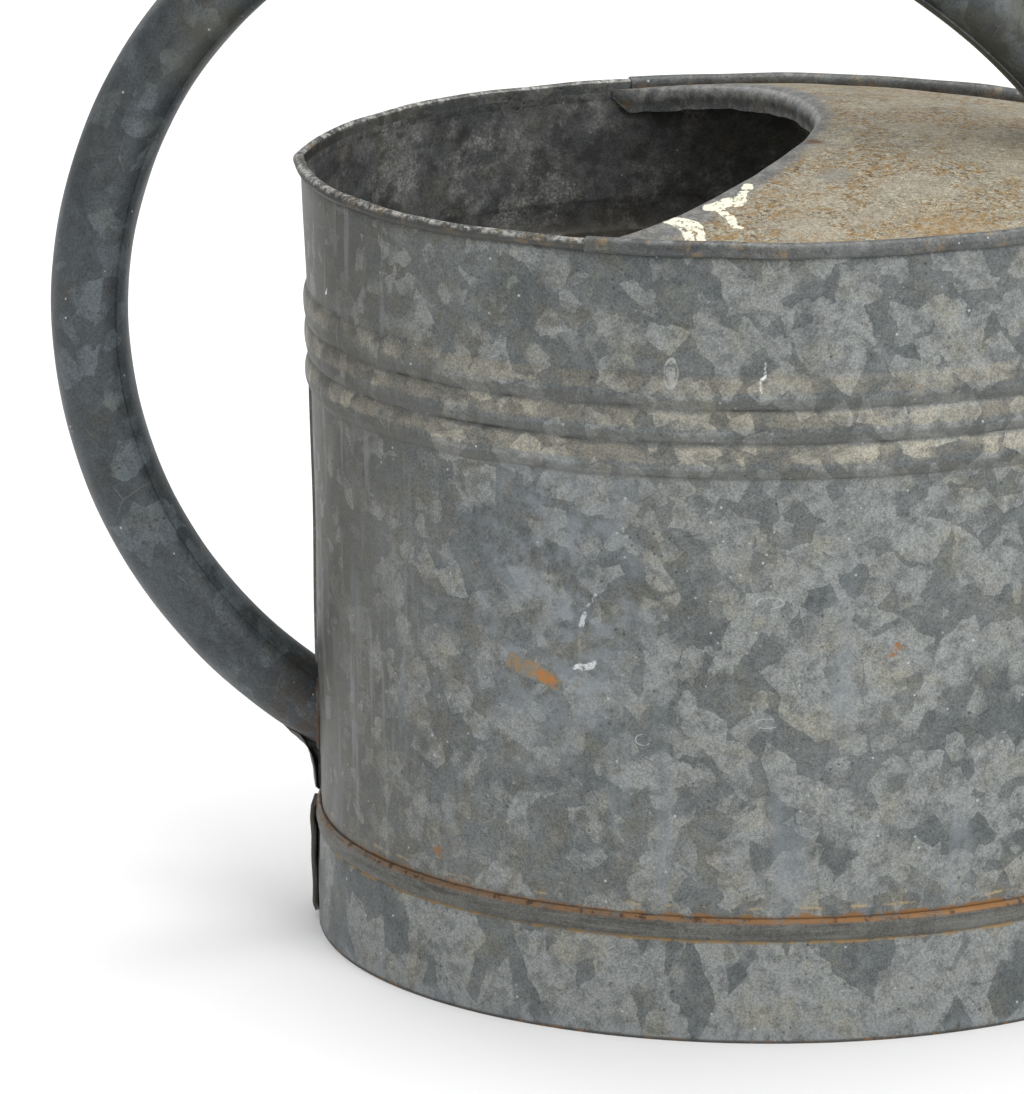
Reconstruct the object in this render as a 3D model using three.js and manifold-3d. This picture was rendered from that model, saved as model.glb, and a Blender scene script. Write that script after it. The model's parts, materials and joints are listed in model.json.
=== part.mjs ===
// Galvanised oval watering can: a rolled sheet body with a half cover, a tube handle,
// a braced spout and a rose that pulls off. Millimetres, +Z up, +X towards the spout.
// The can is drawn round the middle of its oval, then moved so that the origin is
// the middle of its bounding box, on the ground.

import * as THREE from "three";
import { mergeVertices } from "three/addons/utils/BufferGeometryUtils.js";
import Module from "manifold-3d";

const wasm = await Module();
wasm.setup();

// ---- Driving dimensions ----------------------------------------------------

const SHEET = 0.8; // every sheet of the body, the cover and the spout
const GAP = 0.3; // left between pieces that touch or are soldered together
const ROUND_STEPS = 40; // facets round the oval

const BODY_HEIGHT = 285; // ground to the top of the open rim
const BODY_HALF_LENGTH = 157.8; // outside of the wall, along X
const BASE_HALF_WIDTH = 119.8; // outside of the wall at the ground, along Y
const TOP_HALF_WIDTH = 115.8; // the same at the rim

const FOOT_HEIGHT = 37.4; // plain part of the foot band
const FOOT_FLARE = 0.9; // how far the band stands out further at the ground
const SEAM_BEAD_HEIGHT = 8.1; // half-round bead on top of the foot band
const SEAM_BEAD_DEPTH = 2.0;

const BEAD_COUNT = 3; // swaged beads below the rim
const TOP_BEAD_DROP = 51.4; // rim to the middle of the top bead
const BEAD_PITCH = 12.2;
const BEAD_WIDTH = 8.4;
const BEAD_DEPTH = 1.6;

const ROLL_RADIUS = 2.1; // rolled rim, outside
const ROLL_SHIFT = 0.5; // middle of the roll, outwards of the wall
const BACK_SEAM_WIDTH = 9;
const BACK_SEAM_DEPTH = 1.2;

const COVER_DROP = 4; // edge of the cover below the rim
const COVER_RISE = 18.4; // dome of the cover
const COVER_BACK = -51; // the cover wraps the rim in front of this X
const MOUTH_BACK = -58; // where the mouth's edge meets the rim
const MOUTH_FRONT = 20.35; // furthest point of the mouth's edge
const MOUTH_POWERS = [1.66, 1.63]; // superellipse of the mouth's edge
const LIP_DEPTH = 9.2; // edge turned down round the mouth

const FLOOR_FLANGE = 10; // edge of the floor turned down inside the foot band

const HANDLE_RADIUS = 13.65;
const HANDLE_SHEET = 1.2;
const HANDLE_TOP = 108.9; // middle of the tube above the rim, at its highest
const HANDLE_OUT = 79.8; // middle of the tube behind the wall, at its rearmost
const HEEL_RISE = 32.7; // seam bead to the middle of the tube, where it meets the wall
const TOE_INSET = 31.8; // middle of the tube behind the front wall, where it meets the cover
const HEEL_TAB_WIDTH = 25;
const HEEL_TAB_RISE = 2; // seam bead to the foot of the tab under the tube
const HEEL_TAB_SHEET = 1.6;
const TOE_PLATE_LENGTH = 48;
const TOE_PLATE_WIDTH = 44;
const TOE_PLATE_SHEET = 1.2;

const SPOUT_RISE = 8; // seam bead to the underside of the spout
const SPOUT_ANGLE = 46; // degrees above the ground
const SPOUT_OVER_RIM = 41.6; // middle of the spout's end above the rim
const SPOUT_BASE_RADIUS = 29;
const SPOUT_TIP_RADIUS = 14;
const COLLAR_WIDTH = 9;

const NOZZLE_RADIUS = 12; // outside of the ferrule that the rose is pushed on
const NOZZLE_LENGTH = 26;
const FERRULE_OVERLAP = 10; // length of the ferrule round the spout
const FERRULE_WALL = 1.4;
const SHOULDER_RADIUS = 17;
const SHOULDER_LENGTH = 3;

const ROSE_SLEEVE_LENGTH = 30;
const ROSE_SLEEVE_WALL = 1;
const ROSE_RADIUS = 47;
const ROSE_CONE_LENGTH = 58;
const ROSE_BULGE = 7; // dome of the perforated face
const ROSE_FOLD_RADIUS = 2; // folded edge that holds the face
const ROSE_RINGS = [0, 1, 2]; // rings of holes, from the middle out
const ROSE_RING_STEP = 6; // each ring has this many holes more than the one inside it
const ROSE_HOLE = 1.2;

const BRACE_WIDTH = 16;
const BRACE_SHEET = 2;
const BRACE_DROP = 34; // length of the brace's foot down the wall
const BRACE_HEIGHT = 3; // brace above the rim
const BRACE_TAB = 26; // end of the brace that lies along the spout
const CLIP_WIDTH = 14;
const CLIP_SHEET = 1.2;
const RIVET_RADIUS = 2;
const RIVET_HEAD = 4;

// ---- Materials -------------------------------------------------------------

const metal = (color, roughness, metalness = 0.85) =>
  new THREE.MeshStandardMaterial({ color, roughness, metalness });

const zincBody = metal(0x7d8484, 0.55);
const zincCover = metal(0x9c968a, 0.65);
const zincHandle = metal(0x5a605f, 0.5);
const zincFoot = metal(0x757b7a, 0.55);
const zincSpout = metal(0x7a8181, 0.55);
const wornBrass = metal(0x9a7d47, 0.5);

// ---- Solids ----------------------------------------------------------------

// A closed geometry as a solid, whichever way its faces were wound.
function solidOf(geometry) {
  const bare = geometry.clone();
  bare.deleteAttribute("normal");
  bare.deleteAttribute("uv");
  const merged = mergeVertices(bare, 1e-4);
  const triVerts = new Uint32Array(merged.index.array);
  const vertProperties = merged.attributes.position.array;
  const made = new wasm.Manifold(new wasm.Mesh({ numProp: 3, vertProperties, triVerts }));
  if (made.volume() > 0) return made;
  for (let i = 0; i < triVerts.length; i += 3) {
    [triVerts[i + 1], triVerts[i + 2]] = [triVerts[i + 2], triVerts[i + 1]];
  }
  return new wasm.Manifold(new wasm.Mesh({ numProp: 3, vertProperties, triVerts }));
}

function meshOf(name, solid, material) {
  const { vertProperties, triVerts, numProp } = solid.getMesh();
  const geometry = new THREE.BufferGeometry();
  const corners = new THREE.InterleavedBuffer(vertProperties, numProp);
  geometry.setAttribute("position", new THREE.InterleavedBufferAttribute(corners, 3, 0));
  geometry.setIndex(new THREE.BufferAttribute(triVerts, 1));
  const faceted = geometry.toNonIndexed();
  faceted.computeVertexNormals();
  const mesh = new THREE.Mesh(faceted, material);
  mesh.name = name;
  return mesh;
}

// A box from its lowest to its highest corner, as a cutting tool.
function block(low, high) {
  const size = high.map((value, i) => value - low[i]);
  const middle = high.map((value, i) => (value + low[i]) / 2);
  return solidOf(new THREE.BoxGeometry(...size).translate(...middle));
}

const FAR = 1000; // past everything, for cutting tools

// A closed profile of [radius, height] pairs turned round the +Y axis.
function turned(profile, steps = 24) {
  const points = [...profile, profile[0]].map(([r, h]) => new THREE.Vector2(r, h));
  return new THREE.LatheGeometry(points, steps);
}

// ---- The oval --------------------------------------------------------------

const halfWidthAt = (z) =>
  BASE_HALF_WIDTH + ((TOP_HALF_WIDTH - BASE_HALF_WIDTH) * z) / BODY_HEIGHT;

// The point of the wall at an angle, moved out of it by a distance.
function onOval(angle, out, z) {
  const x = (BODY_HALF_LENGTH + out) * Math.cos(angle);
  const y = (halfWidthAt(z) + out) * Math.sin(angle);
  return new THREE.Vector3(x, y, z);
}

// A closed profile of [distance out of the wall, height] pairs, swept round the oval.
function roundOval(profile) {
  const positions = [];
  const corner = (i, j) => {
    const [out, z] = profile[i % profile.length];
    const angle = ((j % ROUND_STEPS) / ROUND_STEPS) * 2 * Math.PI;
    return onOval(angle, out, z).toArray();
  };
  for (let j = 0; j < ROUND_STEPS; j++) {
    for (let i = 0; i < profile.length; i++) {
      positions.push(...corner(i, j), ...corner(i, j + 1), ...corner(i + 1, j + 1));
      positions.push(...corner(i, j), ...corner(i + 1, j + 1), ...corner(i + 1, j));
    }
  }
  const geometry = new THREE.BufferGeometry();
  geometry.setAttribute("position", new THREE.Float32BufferAttribute(positions, 3));
  return solidOf(geometry);
}

// Everything inside the oval, moved out by a distance, between two surfaces z(x, y).
function insideOval(out, under, over, rings = 5) {
  const positions = [];
  const corner = (ring, j, surface) => {
    const rim = onOval(((j % ROUND_STEPS) / ROUND_STEPS) * 2 * Math.PI, out, BODY_HEIGHT);
    const x = (rim.x * ring) / rings;
    const y = (rim.y * ring) / rings;
    return [x, y, surface(x, y)];
  };
  for (let j = 0; j < ROUND_STEPS; j++) {
    for (const [surface, a, b] of [[over, j, j + 1], [under, j + 1, j]]) {
      positions.push(...corner(0, 0, surface), ...corner(1, a, surface), ...corner(1, b, surface));
      for (let ring = 1; ring < rings; ring++) {
        const near = [corner(ring, a, surface), corner(ring, b, surface)];
        const far = [corner(ring + 1, a, surface), corner(ring + 1, b, surface)];
        positions.push(...near[0], ...far[0], ...far[1]);
        positions.push(...near[0], ...far[1], ...near[1]);
      }
    }
    const low = [corner(rings, j, under), corner(rings, j + 1, under)];
    const high = [corner(rings, j, over), corner(rings, j + 1, over)];
    positions.push(...low[0], ...low[1], ...high[1]);
    positions.push(...low[0], ...high[1], ...high[0]);
  }
  const geometry = new THREE.BufferGeometry();
  geometry.setAttribute("position", new THREE.Float32BufferAttribute(positions, 3));
  return solidOf(geometry);
}

// Points of an arc in a profile, from one angle to another, in degrees.
function arcPoints([out, z], radius, from, to, steps) {
  return Array.from({ length: steps + 1 }, (_, i) => {
    const angle = THREE.MathUtils.degToRad(from + ((to - from) * i) / steps);
    return [out + radius * Math.cos(angle), z + radius * Math.sin(angle)];
  });
}

// ---- Spout axis, shared by the spout, the wall's hole, the brace and the rose -----

const seamBeadTop = FOOT_HEIGHT + SEAM_BEAD_HEIGHT;
const spoutRise = THREE.MathUtils.degToRad(SPOUT_ANGLE);
const spoutHeight = seamBeadTop + SPOUT_RISE + SPOUT_BASE_RADIUS / Math.cos(spoutRise);
const spoutLength = (BODY_HEIGHT + SPOUT_OVER_RIM - spoutHeight) / Math.sin(spoutRise);
const spoutStart = new THREE.Vector3(BODY_HALF_LENGTH, 0, spoutHeight);
const spoutWay = new THREE.Vector3(Math.cos(spoutRise), 0, Math.sin(spoutRise));
const spoutTurn = new THREE.Quaternion();
spoutTurn.setFromUnitVectors(new THREE.Vector3(0, 1, 0), spoutWay);
const spoutPlace = new THREE.Matrix4().compose(
  spoutStart,
  spoutTurn,
  new THREE.Vector3(1, 1, 1),
);

const spoutTaper = (SPOUT_BASE_RADIUS - SPOUT_TIP_RADIUS) / spoutLength;
const spoutRadiusAt = (along) => SPOUT_BASE_RADIUS - spoutTaper * along;

// A cone round the spout's axis, wider than the spout by a distance.
function spoutCone(wider, from, to) {
  const profile = [
    [0, from],
    [spoutRadiusAt(from) + wider, from],
    [spoutRadiusAt(to) + wider, to],
    [0, to],
  ];
  return solidOf(turned(profile).applyMatrix4(spoutPlace));
}

const SPOUT_REACH_IN = 2 * SPOUT_BASE_RADIUS; // cones start this far inside the can

// ---- Cover surface ---------------------------------------------------------

// Top of the cover's dome, raised by a distance.
const coverTop = (raise = 0) => (x, y) => {
  const across = (x / BODY_HALF_LENGTH) ** 2 + (y / TOP_HALF_WIDTH) ** 2;
  return BODY_HEIGHT - COVER_DROP + COVER_RISE * (1 - across) + raise;
};

// Edge of the mouth in plan, from one side of the rim (-1) to the other (1).
function mouthEdge(t) {
  const [bend, squareness] = MOUTH_POWERS;
  const reach = Math.sqrt(1 - (MOUTH_BACK / BODY_HALF_LENGTH) ** 2);
  const forward = (1 - Math.abs(t) ** bend) ** (1 / squareness);
  const x = MOUTH_BACK + (MOUTH_FRONT - MOUTH_BACK) * forward;
  return new THREE.Vector2(x, t * TOP_HALF_WIDTH * reach);
}

const MOUTH_STEPS = 32;
const mouthPoints = Array.from({ length: MOUTH_STEPS + 1 }, (_, i) =>
  mouthEdge(Math.sin(Math.PI * (i / MOUTH_STEPS - 0.5))),
);

// ---- Body ------------------------------------------------------------------

const rollMiddle = [ROLL_SHIFT, BODY_HEIGHT - ROLL_RADIUS];
const floorZ = FOOT_HEIGHT + SEAM_BEAD_HEIGHT / 2; // the floor and the wall meet inside the bead
const wallBottom = floorZ + GAP;
const beadHeights = Array.from(
  { length: BEAD_COUNT },
  (_, i) => BODY_HEIGHT - TOP_BEAD_DROP - (BEAD_COUNT - 1 - i) * BEAD_PITCH,
);
const beadsFoot = beadHeights[0] - BEAD_WIDTH / 2;

// One side of the wall's section, from the bottom to under the rolled rim.
function wallSide(out) {
  const side = [[out, wallBottom]];
  for (const z of beadHeights) {
    side.push([out, z - BEAD_WIDTH / 2]);
    side.push([out + BEAD_DEPTH, z]);
    side.push([out, z + BEAD_WIDTH / 2]);
  }
  side.push([out, BODY_HEIGHT - 4 * ROLL_RADIUS]);
  return side;
}

function bodyWall() {
  const curlOutside = arcPoints(rollMiddle, ROLL_RADIUS, 180, -130, 7);
  const curlInside = arcPoints(rollMiddle, ROLL_RADIUS - SHEET, -130, 180, 6);
  const section = [...wallSide(-SHEET), ...curlOutside, ...curlInside, ...wallSide(0).reverse()];
  const seam = roundOval([
    [-SHEET / 2, seamBeadTop + GAP],
    [BACK_SEAM_DEPTH, seamBeadTop + GAP],
    [BACK_SEAM_DEPTH, beadsFoot],
    [-SHEET / 2, beadsFoot],
  ]).intersect(block([-FAR, -BACK_SEAM_WIDTH / 2, 0], [0, BACK_SEAM_WIDTH / 2, FAR]));
  return roundOval(section)
    .add(seam)
    .subtract(spoutCone(-SHEET, -SPOUT_REACH_IN, SPOUT_REACH_IN))
    .subtract(rivetHole(footRivet));
}

function rimWire() {
  return roundOval(arcPoints(rollMiddle, ROLL_RADIUS - SHEET - GAP, 0, 300, 5));
}

function footBand() {
  const inner = GAP;
  const outer = inner + SHEET;
  const beadMiddle = FOOT_HEIGHT + SEAM_BEAD_HEIGHT / 2;
  const beadBulge = [-50, 0, 50].map((degrees) => {
    const angle = THREE.MathUtils.degToRad(degrees);
    const out = SEAM_BEAD_DEPTH * Math.cos(angle);
    return [out, beadMiddle + (SEAM_BEAD_HEIGHT / 2 - SHEET / 2) * Math.sin(angle)];
  });
  return roundOval([
    [inner + FOOT_FLARE, 0],
    [outer + FOOT_FLARE, 0],
    [outer, FOOT_HEIGHT],
    ...beadBulge.map(([out, z]) => [outer + out, z]),
    [outer, seamBeadTop],
    [inner, seamBeadTop],
    ...beadBulge.map(([out, z]) => [inner + out, z]).reverse(),
    [inner, FOOT_HEIGHT],
  ]);
}

function floorPlate() {
  const dish = insideOval(-SHEET / 2, () => floorZ - SHEET, () => floorZ, 1);
  const flange = roundOval([
    [-SHEET, floorZ - FLOOR_FLANGE],
    [0, floorZ - FLOOR_FLANGE],
    [0, floorZ],
    [-SHEET, floorZ],
  ]);
  return dish.add(flange);
}

// ---- Cover -----------------------------------------------------------------

function mouthCutter() {
  const outline = new THREE.Shape(mouthPoints);
  const last = mouthPoints[mouthPoints.length - 1];
  outline.lineTo(last.x, FAR);
  outline.lineTo(-FAR, FAR);
  outline.lineTo(-FAR, -FAR);
  outline.lineTo(mouthPoints[0].x, -FAR);
  const depth = 4 * COVER_RISE;
  const prism = new THREE.ExtrudeGeometry(outline, { depth, bevelEnabled: false });
  return solidOf(prism.translate(0, 0, BODY_HEIGHT - 2 * COVER_RISE));
}

// The strip turned down all along the mouth's edge, as a band with four corners.
function mouthLip() {
  const top = coverTop(-SHEET / 4);
  const sections = mouthPoints.map((point, i) => {
    const before = mouthPoints[Math.max(i - 1, 0)];
    const after = mouthPoints[Math.min(i + 1, MOUTH_STEPS)];
    const along = after.clone().sub(before).normalize();
    const back = new THREE.Vector2(along.y, -along.x).multiplyScalar(SHEET).add(point);
    const z = top(point.x, point.y);
    return [
      [point.x, point.y, z],
      [point.x, point.y, z - LIP_DEPTH],
      [back.x, back.y, z - LIP_DEPTH],
      [back.x, back.y, z],
    ];
  });
  const positions = [];
  const face = (a, b, c, d) => positions.push(...a, ...b, ...c, ...a, ...c, ...d);
  for (let i = 0; i < MOUTH_STEPS; i++) {
    for (let k = 0; k < 4; k++) {
      const next = (k + 1) % 4;
      face(sections[i][k], sections[i][next], sections[i + 1][next], sections[i + 1][k]);
    }
  }
  face(...[...sections[0]].reverse());
  face(...sections[MOUTH_STEPS]);
  const geometry = new THREE.BufferGeometry();
  geometry.setAttribute("position", new THREE.Float32BufferAttribute(positions, 3));
  return solidOf(geometry);
}

// The cover's edge goes up inside the rim and is folded over it.
const wrapInner = ROLL_RADIUS + GAP;
const wrapOuter = wrapInner + SHEET;
const insideFold = ROLL_SHIFT - wrapOuter - GAP; // reach of what lies on the cover

function halfCover() {
  const flangeOut = ROLL_SHIFT - wrapInner;
  const flangeFoot = BODY_HEIGHT - COVER_DROP - 2 * SHEET;
  const sheet = insideOval(flangeOut - SHEET / 2, coverTop(-SHEET), coverTop())
    .subtract(mouthCutter())
    .add(mouthLip());
  const inside = insideOval(flangeOut - SHEET / 2, () => 0, () => 2 * BODY_HEIGHT, 1);
  const wrap = roundOval([
    [flangeOut - SHEET, flangeFoot],
    ...arcPoints(rollMiddle, wrapOuter, 180, -40, 6),
    ...arcPoints(rollMiddle, wrapInner, -40, 180, 6),
    [flangeOut, flangeFoot],
  ]).intersect(block([COVER_BACK, -FAR, 0], [FAR, FAR, FAR]));
  return sheet.intersect(inside).add(wrap);
}

// ---- Handle ----------------------------------------------------------------

const heelZ = seamBeadTop + HEEL_RISE;
const toeX = BODY_HALF_LENGTH - TOE_INSET;
const toeZ = coverTop()(toeX, 0);
const handleTopZ = BODY_HEIGHT + HANDLE_TOP;

// The rear arc touches its rearmost line and its top, and passes through the heel.
const climb = handleTopZ - heelZ;
const rearRadius = HANDLE_OUT + climb - Math.sqrt(2 * HANDLE_OUT * climb);
const handleTopX = rearRadius - HANDLE_OUT - BODY_HALF_LENGTH;

// The front arc starts level at the top and passes through the toe.
const toeRun = toeX - handleTopX;
const toeFall = handleTopZ - toeZ;
const frontRadius = (toeRun ** 2 + toeFall ** 2) / (2 * toeFall);

// The handle's middle line; it runs on into the wall and the cover, where it is cut.
class HandleCurve extends THREE.Curve {
  constructor() {
    super();
    const heelReach = BODY_HALF_LENGTH + handleTopX - HANDLE_RADIUS;
    this.rearAngle = Math.PI - Math.asin(heelReach / rearRadius);
    this.frontAngle = Math.acos(1 - (toeFall + 2 * HANDLE_RADIUS) / frontRadius);
  }

  getPoint(t, target = new THREE.Vector3()) {
    const rearLength = rearRadius * this.rearAngle;
    const along = t * (rearLength + frontRadius * this.frontAngle) - rearLength;
    const radius = along < 0 ? rearRadius : frontRadius;
    const angle = along / radius;
    const x = handleTopX + radius * Math.sin(angle);
    return target.set(x, 0, handleTopZ - radius + radius * Math.cos(angle));
  }
}

const heelTabFoot = seamBeadTop + HEEL_TAB_RISE;
const heelTabInner = BACK_SEAM_DEPTH + GAP;
const heelTabOuter = heelTabInner + HEEL_TAB_SHEET;

function handleTube() {
  const ring = new THREE.Shape().absarc(0, 0, HANDLE_RADIUS, 0, 2 * Math.PI);
  const bore = new THREE.Path().absarc(0, 0, HANDLE_RADIUS - HANDLE_SHEET, 0, 2 * Math.PI, true);
  ring.holes.push(bore);
  const tube = new THREE.ExtrudeGeometry(ring, {
    extrudePath: new HandleCurve(),
    steps: 32,
    curveSegments: 6,
    bevelEnabled: false,
  });
  const wallSolid = insideOval(GAP, () => 0, () => BODY_HEIGHT - COVER_DROP, 1);
  const seamStrip = insideOval(BACK_SEAM_DEPTH + GAP, () => 0, () => BODY_HEIGHT / 2, 1).intersect(
    block([-FAR, -BACK_SEAM_WIDTH / 2 - GAP, 0], [0, BACK_SEAM_WIDTH / 2 + GAP, FAR]),
  );
  const tabSolid = insideOval(heelTabOuter + GAP, () => 0, () => heelZ + GAP, 1);
  const raise = GAP + TOE_PLATE_SHEET + GAP;
  const coverSolid = insideOval(insideFold, () => 0, coverTop(raise));
  const frontSpace = block([toeX, -FAR, 0], [FAR, FAR, BODY_HEIGHT - COVER_DROP]);
  return [wallSolid, seamStrip, tabSolid, coverSolid, frontSpace].reduce(
    (left, solid) => left.subtract(solid),
    solidOf(tube),
  );
}

function handleHeelTab() {
  const halfWidth = HEEL_TAB_WIDTH / 2;
  return roundOval([
    [heelTabInner, heelTabFoot],
    [heelTabOuter, heelTabFoot],
    [heelTabOuter, heelZ],
    [heelTabInner, heelZ],
  ]).intersect(block([-FAR, -halfWidth, 0], [0, halfWidth, FAR]));
}

function handleToePlate() {
  const radius = TOE_PLATE_LENGTH / 2;
  const outline = new THREE.CylinderGeometry(radius, radius, FAR, 28).rotateX(Math.PI / 2);
  outline.scale(1, TOE_PLATE_WIDTH / TOE_PLATE_LENGTH, 1).translate(toeX, 0, 0);
  const sheet = insideOval(insideFold, coverTop(GAP), coverTop(GAP + TOE_PLATE_SHEET));
  return sheet.intersect(solidOf(outline));
}

// ---- Spout and brace -------------------------------------------------------

function spoutTube() {
  const outside = spoutCone(0, -SPOUT_REACH_IN, spoutLength);
  const bore = spoutCone(-SHEET, -2 * SPOUT_REACH_IN, spoutLength + SHEET);
  const canInside = insideOval(GAP, () => 0, () => BODY_HEIGHT, 1);
  return outside.subtract(bore).subtract(canInside).subtract(rivetHole(clipRivet));
}

function spoutCollar() {
  const patch = roundOval([
    [GAP, seamBeadTop + GAP],
    [GAP + SHEET, seamBeadTop + GAP],
    [GAP + SHEET, beadsFoot - GAP],
    [GAP, beadsFoot - GAP],
  ]).intersect(block([0, -FAR, 0], [FAR, FAR, FAR]));
  const outline = spoutCone(COLLAR_WIDTH, -SPOUT_REACH_IN, SPOUT_REACH_IN);
  return patch.intersect(outline).subtract(spoutCone(GAP, -SPOUT_REACH_IN, SPOUT_REACH_IN));
}

// A bent strip: its middle line in the XZ plane, its sheet and its width along Y.
function bentStrip(line, sheet, width) {
  const side = (sign) =>
    line.map((point, i) => {
      const before = line[Math.max(i - 1, 0)];
      const after = line[Math.min(i + 1, line.length - 1)];
      const into = point.clone().sub(before).normalize();
      const away = after.clone().sub(point).normalize();
      const way = into.clone().add(away).normalize();
      const shrink = Math.max(way.dot(into), way.dot(away)); // a mitre is longer than the sheet
      const across = new THREE.Vector2(-way.y, way.x);
      return point.clone().addScaledVector(across, (sign * sheet) / 2 / shrink);
    });
  const outline = new THREE.Shape([...side(1), ...side(-1).reverse()]);
  const strip = new THREE.ExtrudeGeometry(outline, { depth: width, bevelEnabled: false });
  return solidOf(strip.rotateX(Math.PI / 2).translate(0, width / 2, 0));
}

const spoutUp = new THREE.Vector3(-Math.sin(spoutRise), 0, Math.cos(spoutRise));

// The point over the spout, in the XZ plane, at a distance along it and out of it.
function overSpout(along, out) {
  return spoutStart
    .clone()
    .addScaledVector(spoutWay, along)
    .addScaledVector(spoutUp, spoutRadiusAt(along) + out);
}

const braceZ = BODY_HEIGHT + BRACE_HEIGHT;
const clipOut = GAP + CLIP_SHEET; // outside of the clip, out of the spout
const braceOut = clipOut + GAP + BRACE_SHEET / 2; // middle of the brace's end, out of the spout

// Distance along the spout at which the brace's end, at the brace's height, comes to lie on it.
function findBraceLanding() {
  const start = overSpout(0, braceOut).z;
  const climb = overSpout(1, braceOut).z - start;
  return (braceZ - start) / climb;
}

const braceLanding = findBraceLanding();
const clipMiddle = braceLanding + BRACE_TAB / 2;
const braceFootX = BODY_HALF_LENGTH + GAP + BRACE_SHEET / 2;
const braceKneeX = BODY_HALF_LENGTH + ROLL_SHIFT + wrapOuter + GAP + BRACE_SHEET;
const braceFootZ = BODY_HEIGHT - BRACE_DROP;

const facetSlope = (BODY_HALF_LENGTH / TOP_HALF_WIDTH) * Math.tan(Math.PI / ROUND_STEPS);
const footRivet = {
  point: new THREE.Vector3(braceFootX + BRACE_SHEET / 2, 0, braceFootZ + BRACE_WIDTH / 2),
  way: new THREE.Vector3(1, 0, 0),
  grip: BRACE_SHEET + GAP + SHEET + RIVET_HEAD * facetSlope,
};
const boreCurve = RIVET_HEAD ** 2 / (2 * spoutRadiusAt(clipMiddle)); // bore's rise under a head
const clipRivet = {
  point: overSpout(clipMiddle, braceOut + BRACE_SHEET / 2),
  way: spoutUp,
  grip: BRACE_SHEET + GAP + CLIP_SHEET + GAP + SHEET + boreCurve,
};

function braceBar() {
  const footTop = braceFootZ + BRACE_WIDTH;
  const bend = 2 * BRACE_SHEET;
  const line = [
    [braceFootX, braceFootZ],
    [braceFootX, footTop],
    [braceKneeX, footTop + bend],
    [braceKneeX, braceZ - bend],
    [braceKneeX + bend, braceZ],
  ].map(([x, z]) => new THREE.Vector2(x, z));
  for (const along of [braceLanding, braceLanding + BRACE_TAB]) {
    const { x, z } = overSpout(along, braceOut);
    line.push(new THREE.Vector2(x, z));
  }
  return bentStrip(line, BRACE_SHEET, BRACE_WIDTH)
    .subtract(rivetHole(footRivet))
    .subtract(rivetHole(clipRivet));
}

function braceClip() {
  const from = clipMiddle - CLIP_WIDTH / 2;
  const to = clipMiddle + CLIP_WIDTH / 2;
  return spoutCone(clipOut, from, to)
    .subtract(spoutCone(GAP, from - 1, to + 1))
    .subtract(rivetHole(clipRivet));
}

const UP = new THREE.Vector3(0, 1, 0); // axis of turned pieces

// The hole of a rivet: through its grip, and a head's height past it on both sides.
function rivetHole({ point, way, grip }) {
  const radius = RIVET_RADIUS + GAP;
  const length = grip + 2 * RIVET_HEAD;
  const hole = new THREE.CylinderGeometry(radius, radius, length, 12);
  hole.applyQuaternion(new THREE.Quaternion().setFromUnitVectors(UP, way));
  const middle = point.clone().addScaledVector(way, -grip / 2);
  return solidOf(hole.translate(...middle));
}

// A domed head outside, a shank through the grip and an upset end inside.
function rivetMesh(name, { point, way, grip }, material) {
  const domeHeight = RIVET_HEAD / 2;
  const dome = [1, 0.75, 0.45, 0].map((share) => [
    RIVET_HEAD * share,
    GAP + domeHeight * Math.sqrt(1 - share ** 2),
  ]);
  const end = -grip - GAP;
  const profile = [
    ...dome,
    [0, end - RIVET_RADIUS / 2],
    [RIVET_HEAD * 0.7, end - RIVET_RADIUS / 2],
    [RIVET_HEAD * 0.8, end],
    [RIVET_RADIUS, end],
    [RIVET_RADIUS, GAP],
  ];
  const mesh = meshOf(name, solidOf(turned(profile, 12)), material);
  mesh.quaternion.setFromUnitVectors(UP, way);
  mesh.position.copy(point);
  return mesh;
}

// ---- Ferrule and rose, all turned round the spout's axis ---------------------

const shoulderEnd = spoutLength + SHOULDER_LENGTH;
const sleeveStart = shoulderEnd + GAP;
const sleeveEnd = sleeveStart + ROSE_SLEEVE_LENGTH;
const sleeveInner = NOZZLE_RADIUS + GAP;
const sleeveOuter = sleeveInner + ROSE_SLEEVE_WALL;
const coneEnd = sleeveEnd + ROSE_CONE_LENGTH;

function spoutFerrule() {
  const gripInner = spoutRadiusAt(spoutLength - FERRULE_OVERLAP) + GAP;
  const gripOuter = gripInner + FERRULE_WALL;
  const nozzleInner = NOZZLE_RADIUS - FERRULE_WALL;
  const nozzleEnd = shoulderEnd + NOZZLE_LENGTH;
  return turned([
    [gripInner, spoutLength - FERRULE_OVERLAP],
    [gripOuter, spoutLength - FERRULE_OVERLAP],
    [gripOuter, spoutLength],
    [Math.max(SHOULDER_RADIUS, gripOuter + GAP), spoutLength],
    [Math.max(SHOULDER_RADIUS, gripOuter + GAP), shoulderEnd],
    [NOZZLE_RADIUS, shoulderEnd],
    [NOZZLE_RADIUS, nozzleEnd],
    [nozzleInner, nozzleEnd],
    [nozzleInner, spoutLength + GAP],
    [gripInner, spoutLength + GAP],
  ]);
}

function roseSleeve() {
  return turned([
    [sleeveInner, sleeveStart],
    [sleeveOuter, sleeveStart],
    [sleeveOuter, sleeveEnd],
    [sleeveInner, sleeveEnd],
  ]);
}

function roseCone() {
  const neckInner = sleeveOuter + GAP;
  const neckStart = sleeveEnd - ROSE_SLEEVE_LENGTH / 3;
  return turned([
    [neckInner, neckStart],
    [neckInner + SHEET, neckStart],
    [neckInner + SHEET, sleeveEnd],
    [ROSE_RADIUS, coneEnd],
    [ROSE_RADIUS - SHEET, coneEnd],
    [neckInner, sleeveEnd + SHEET],
  ]);
}

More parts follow.
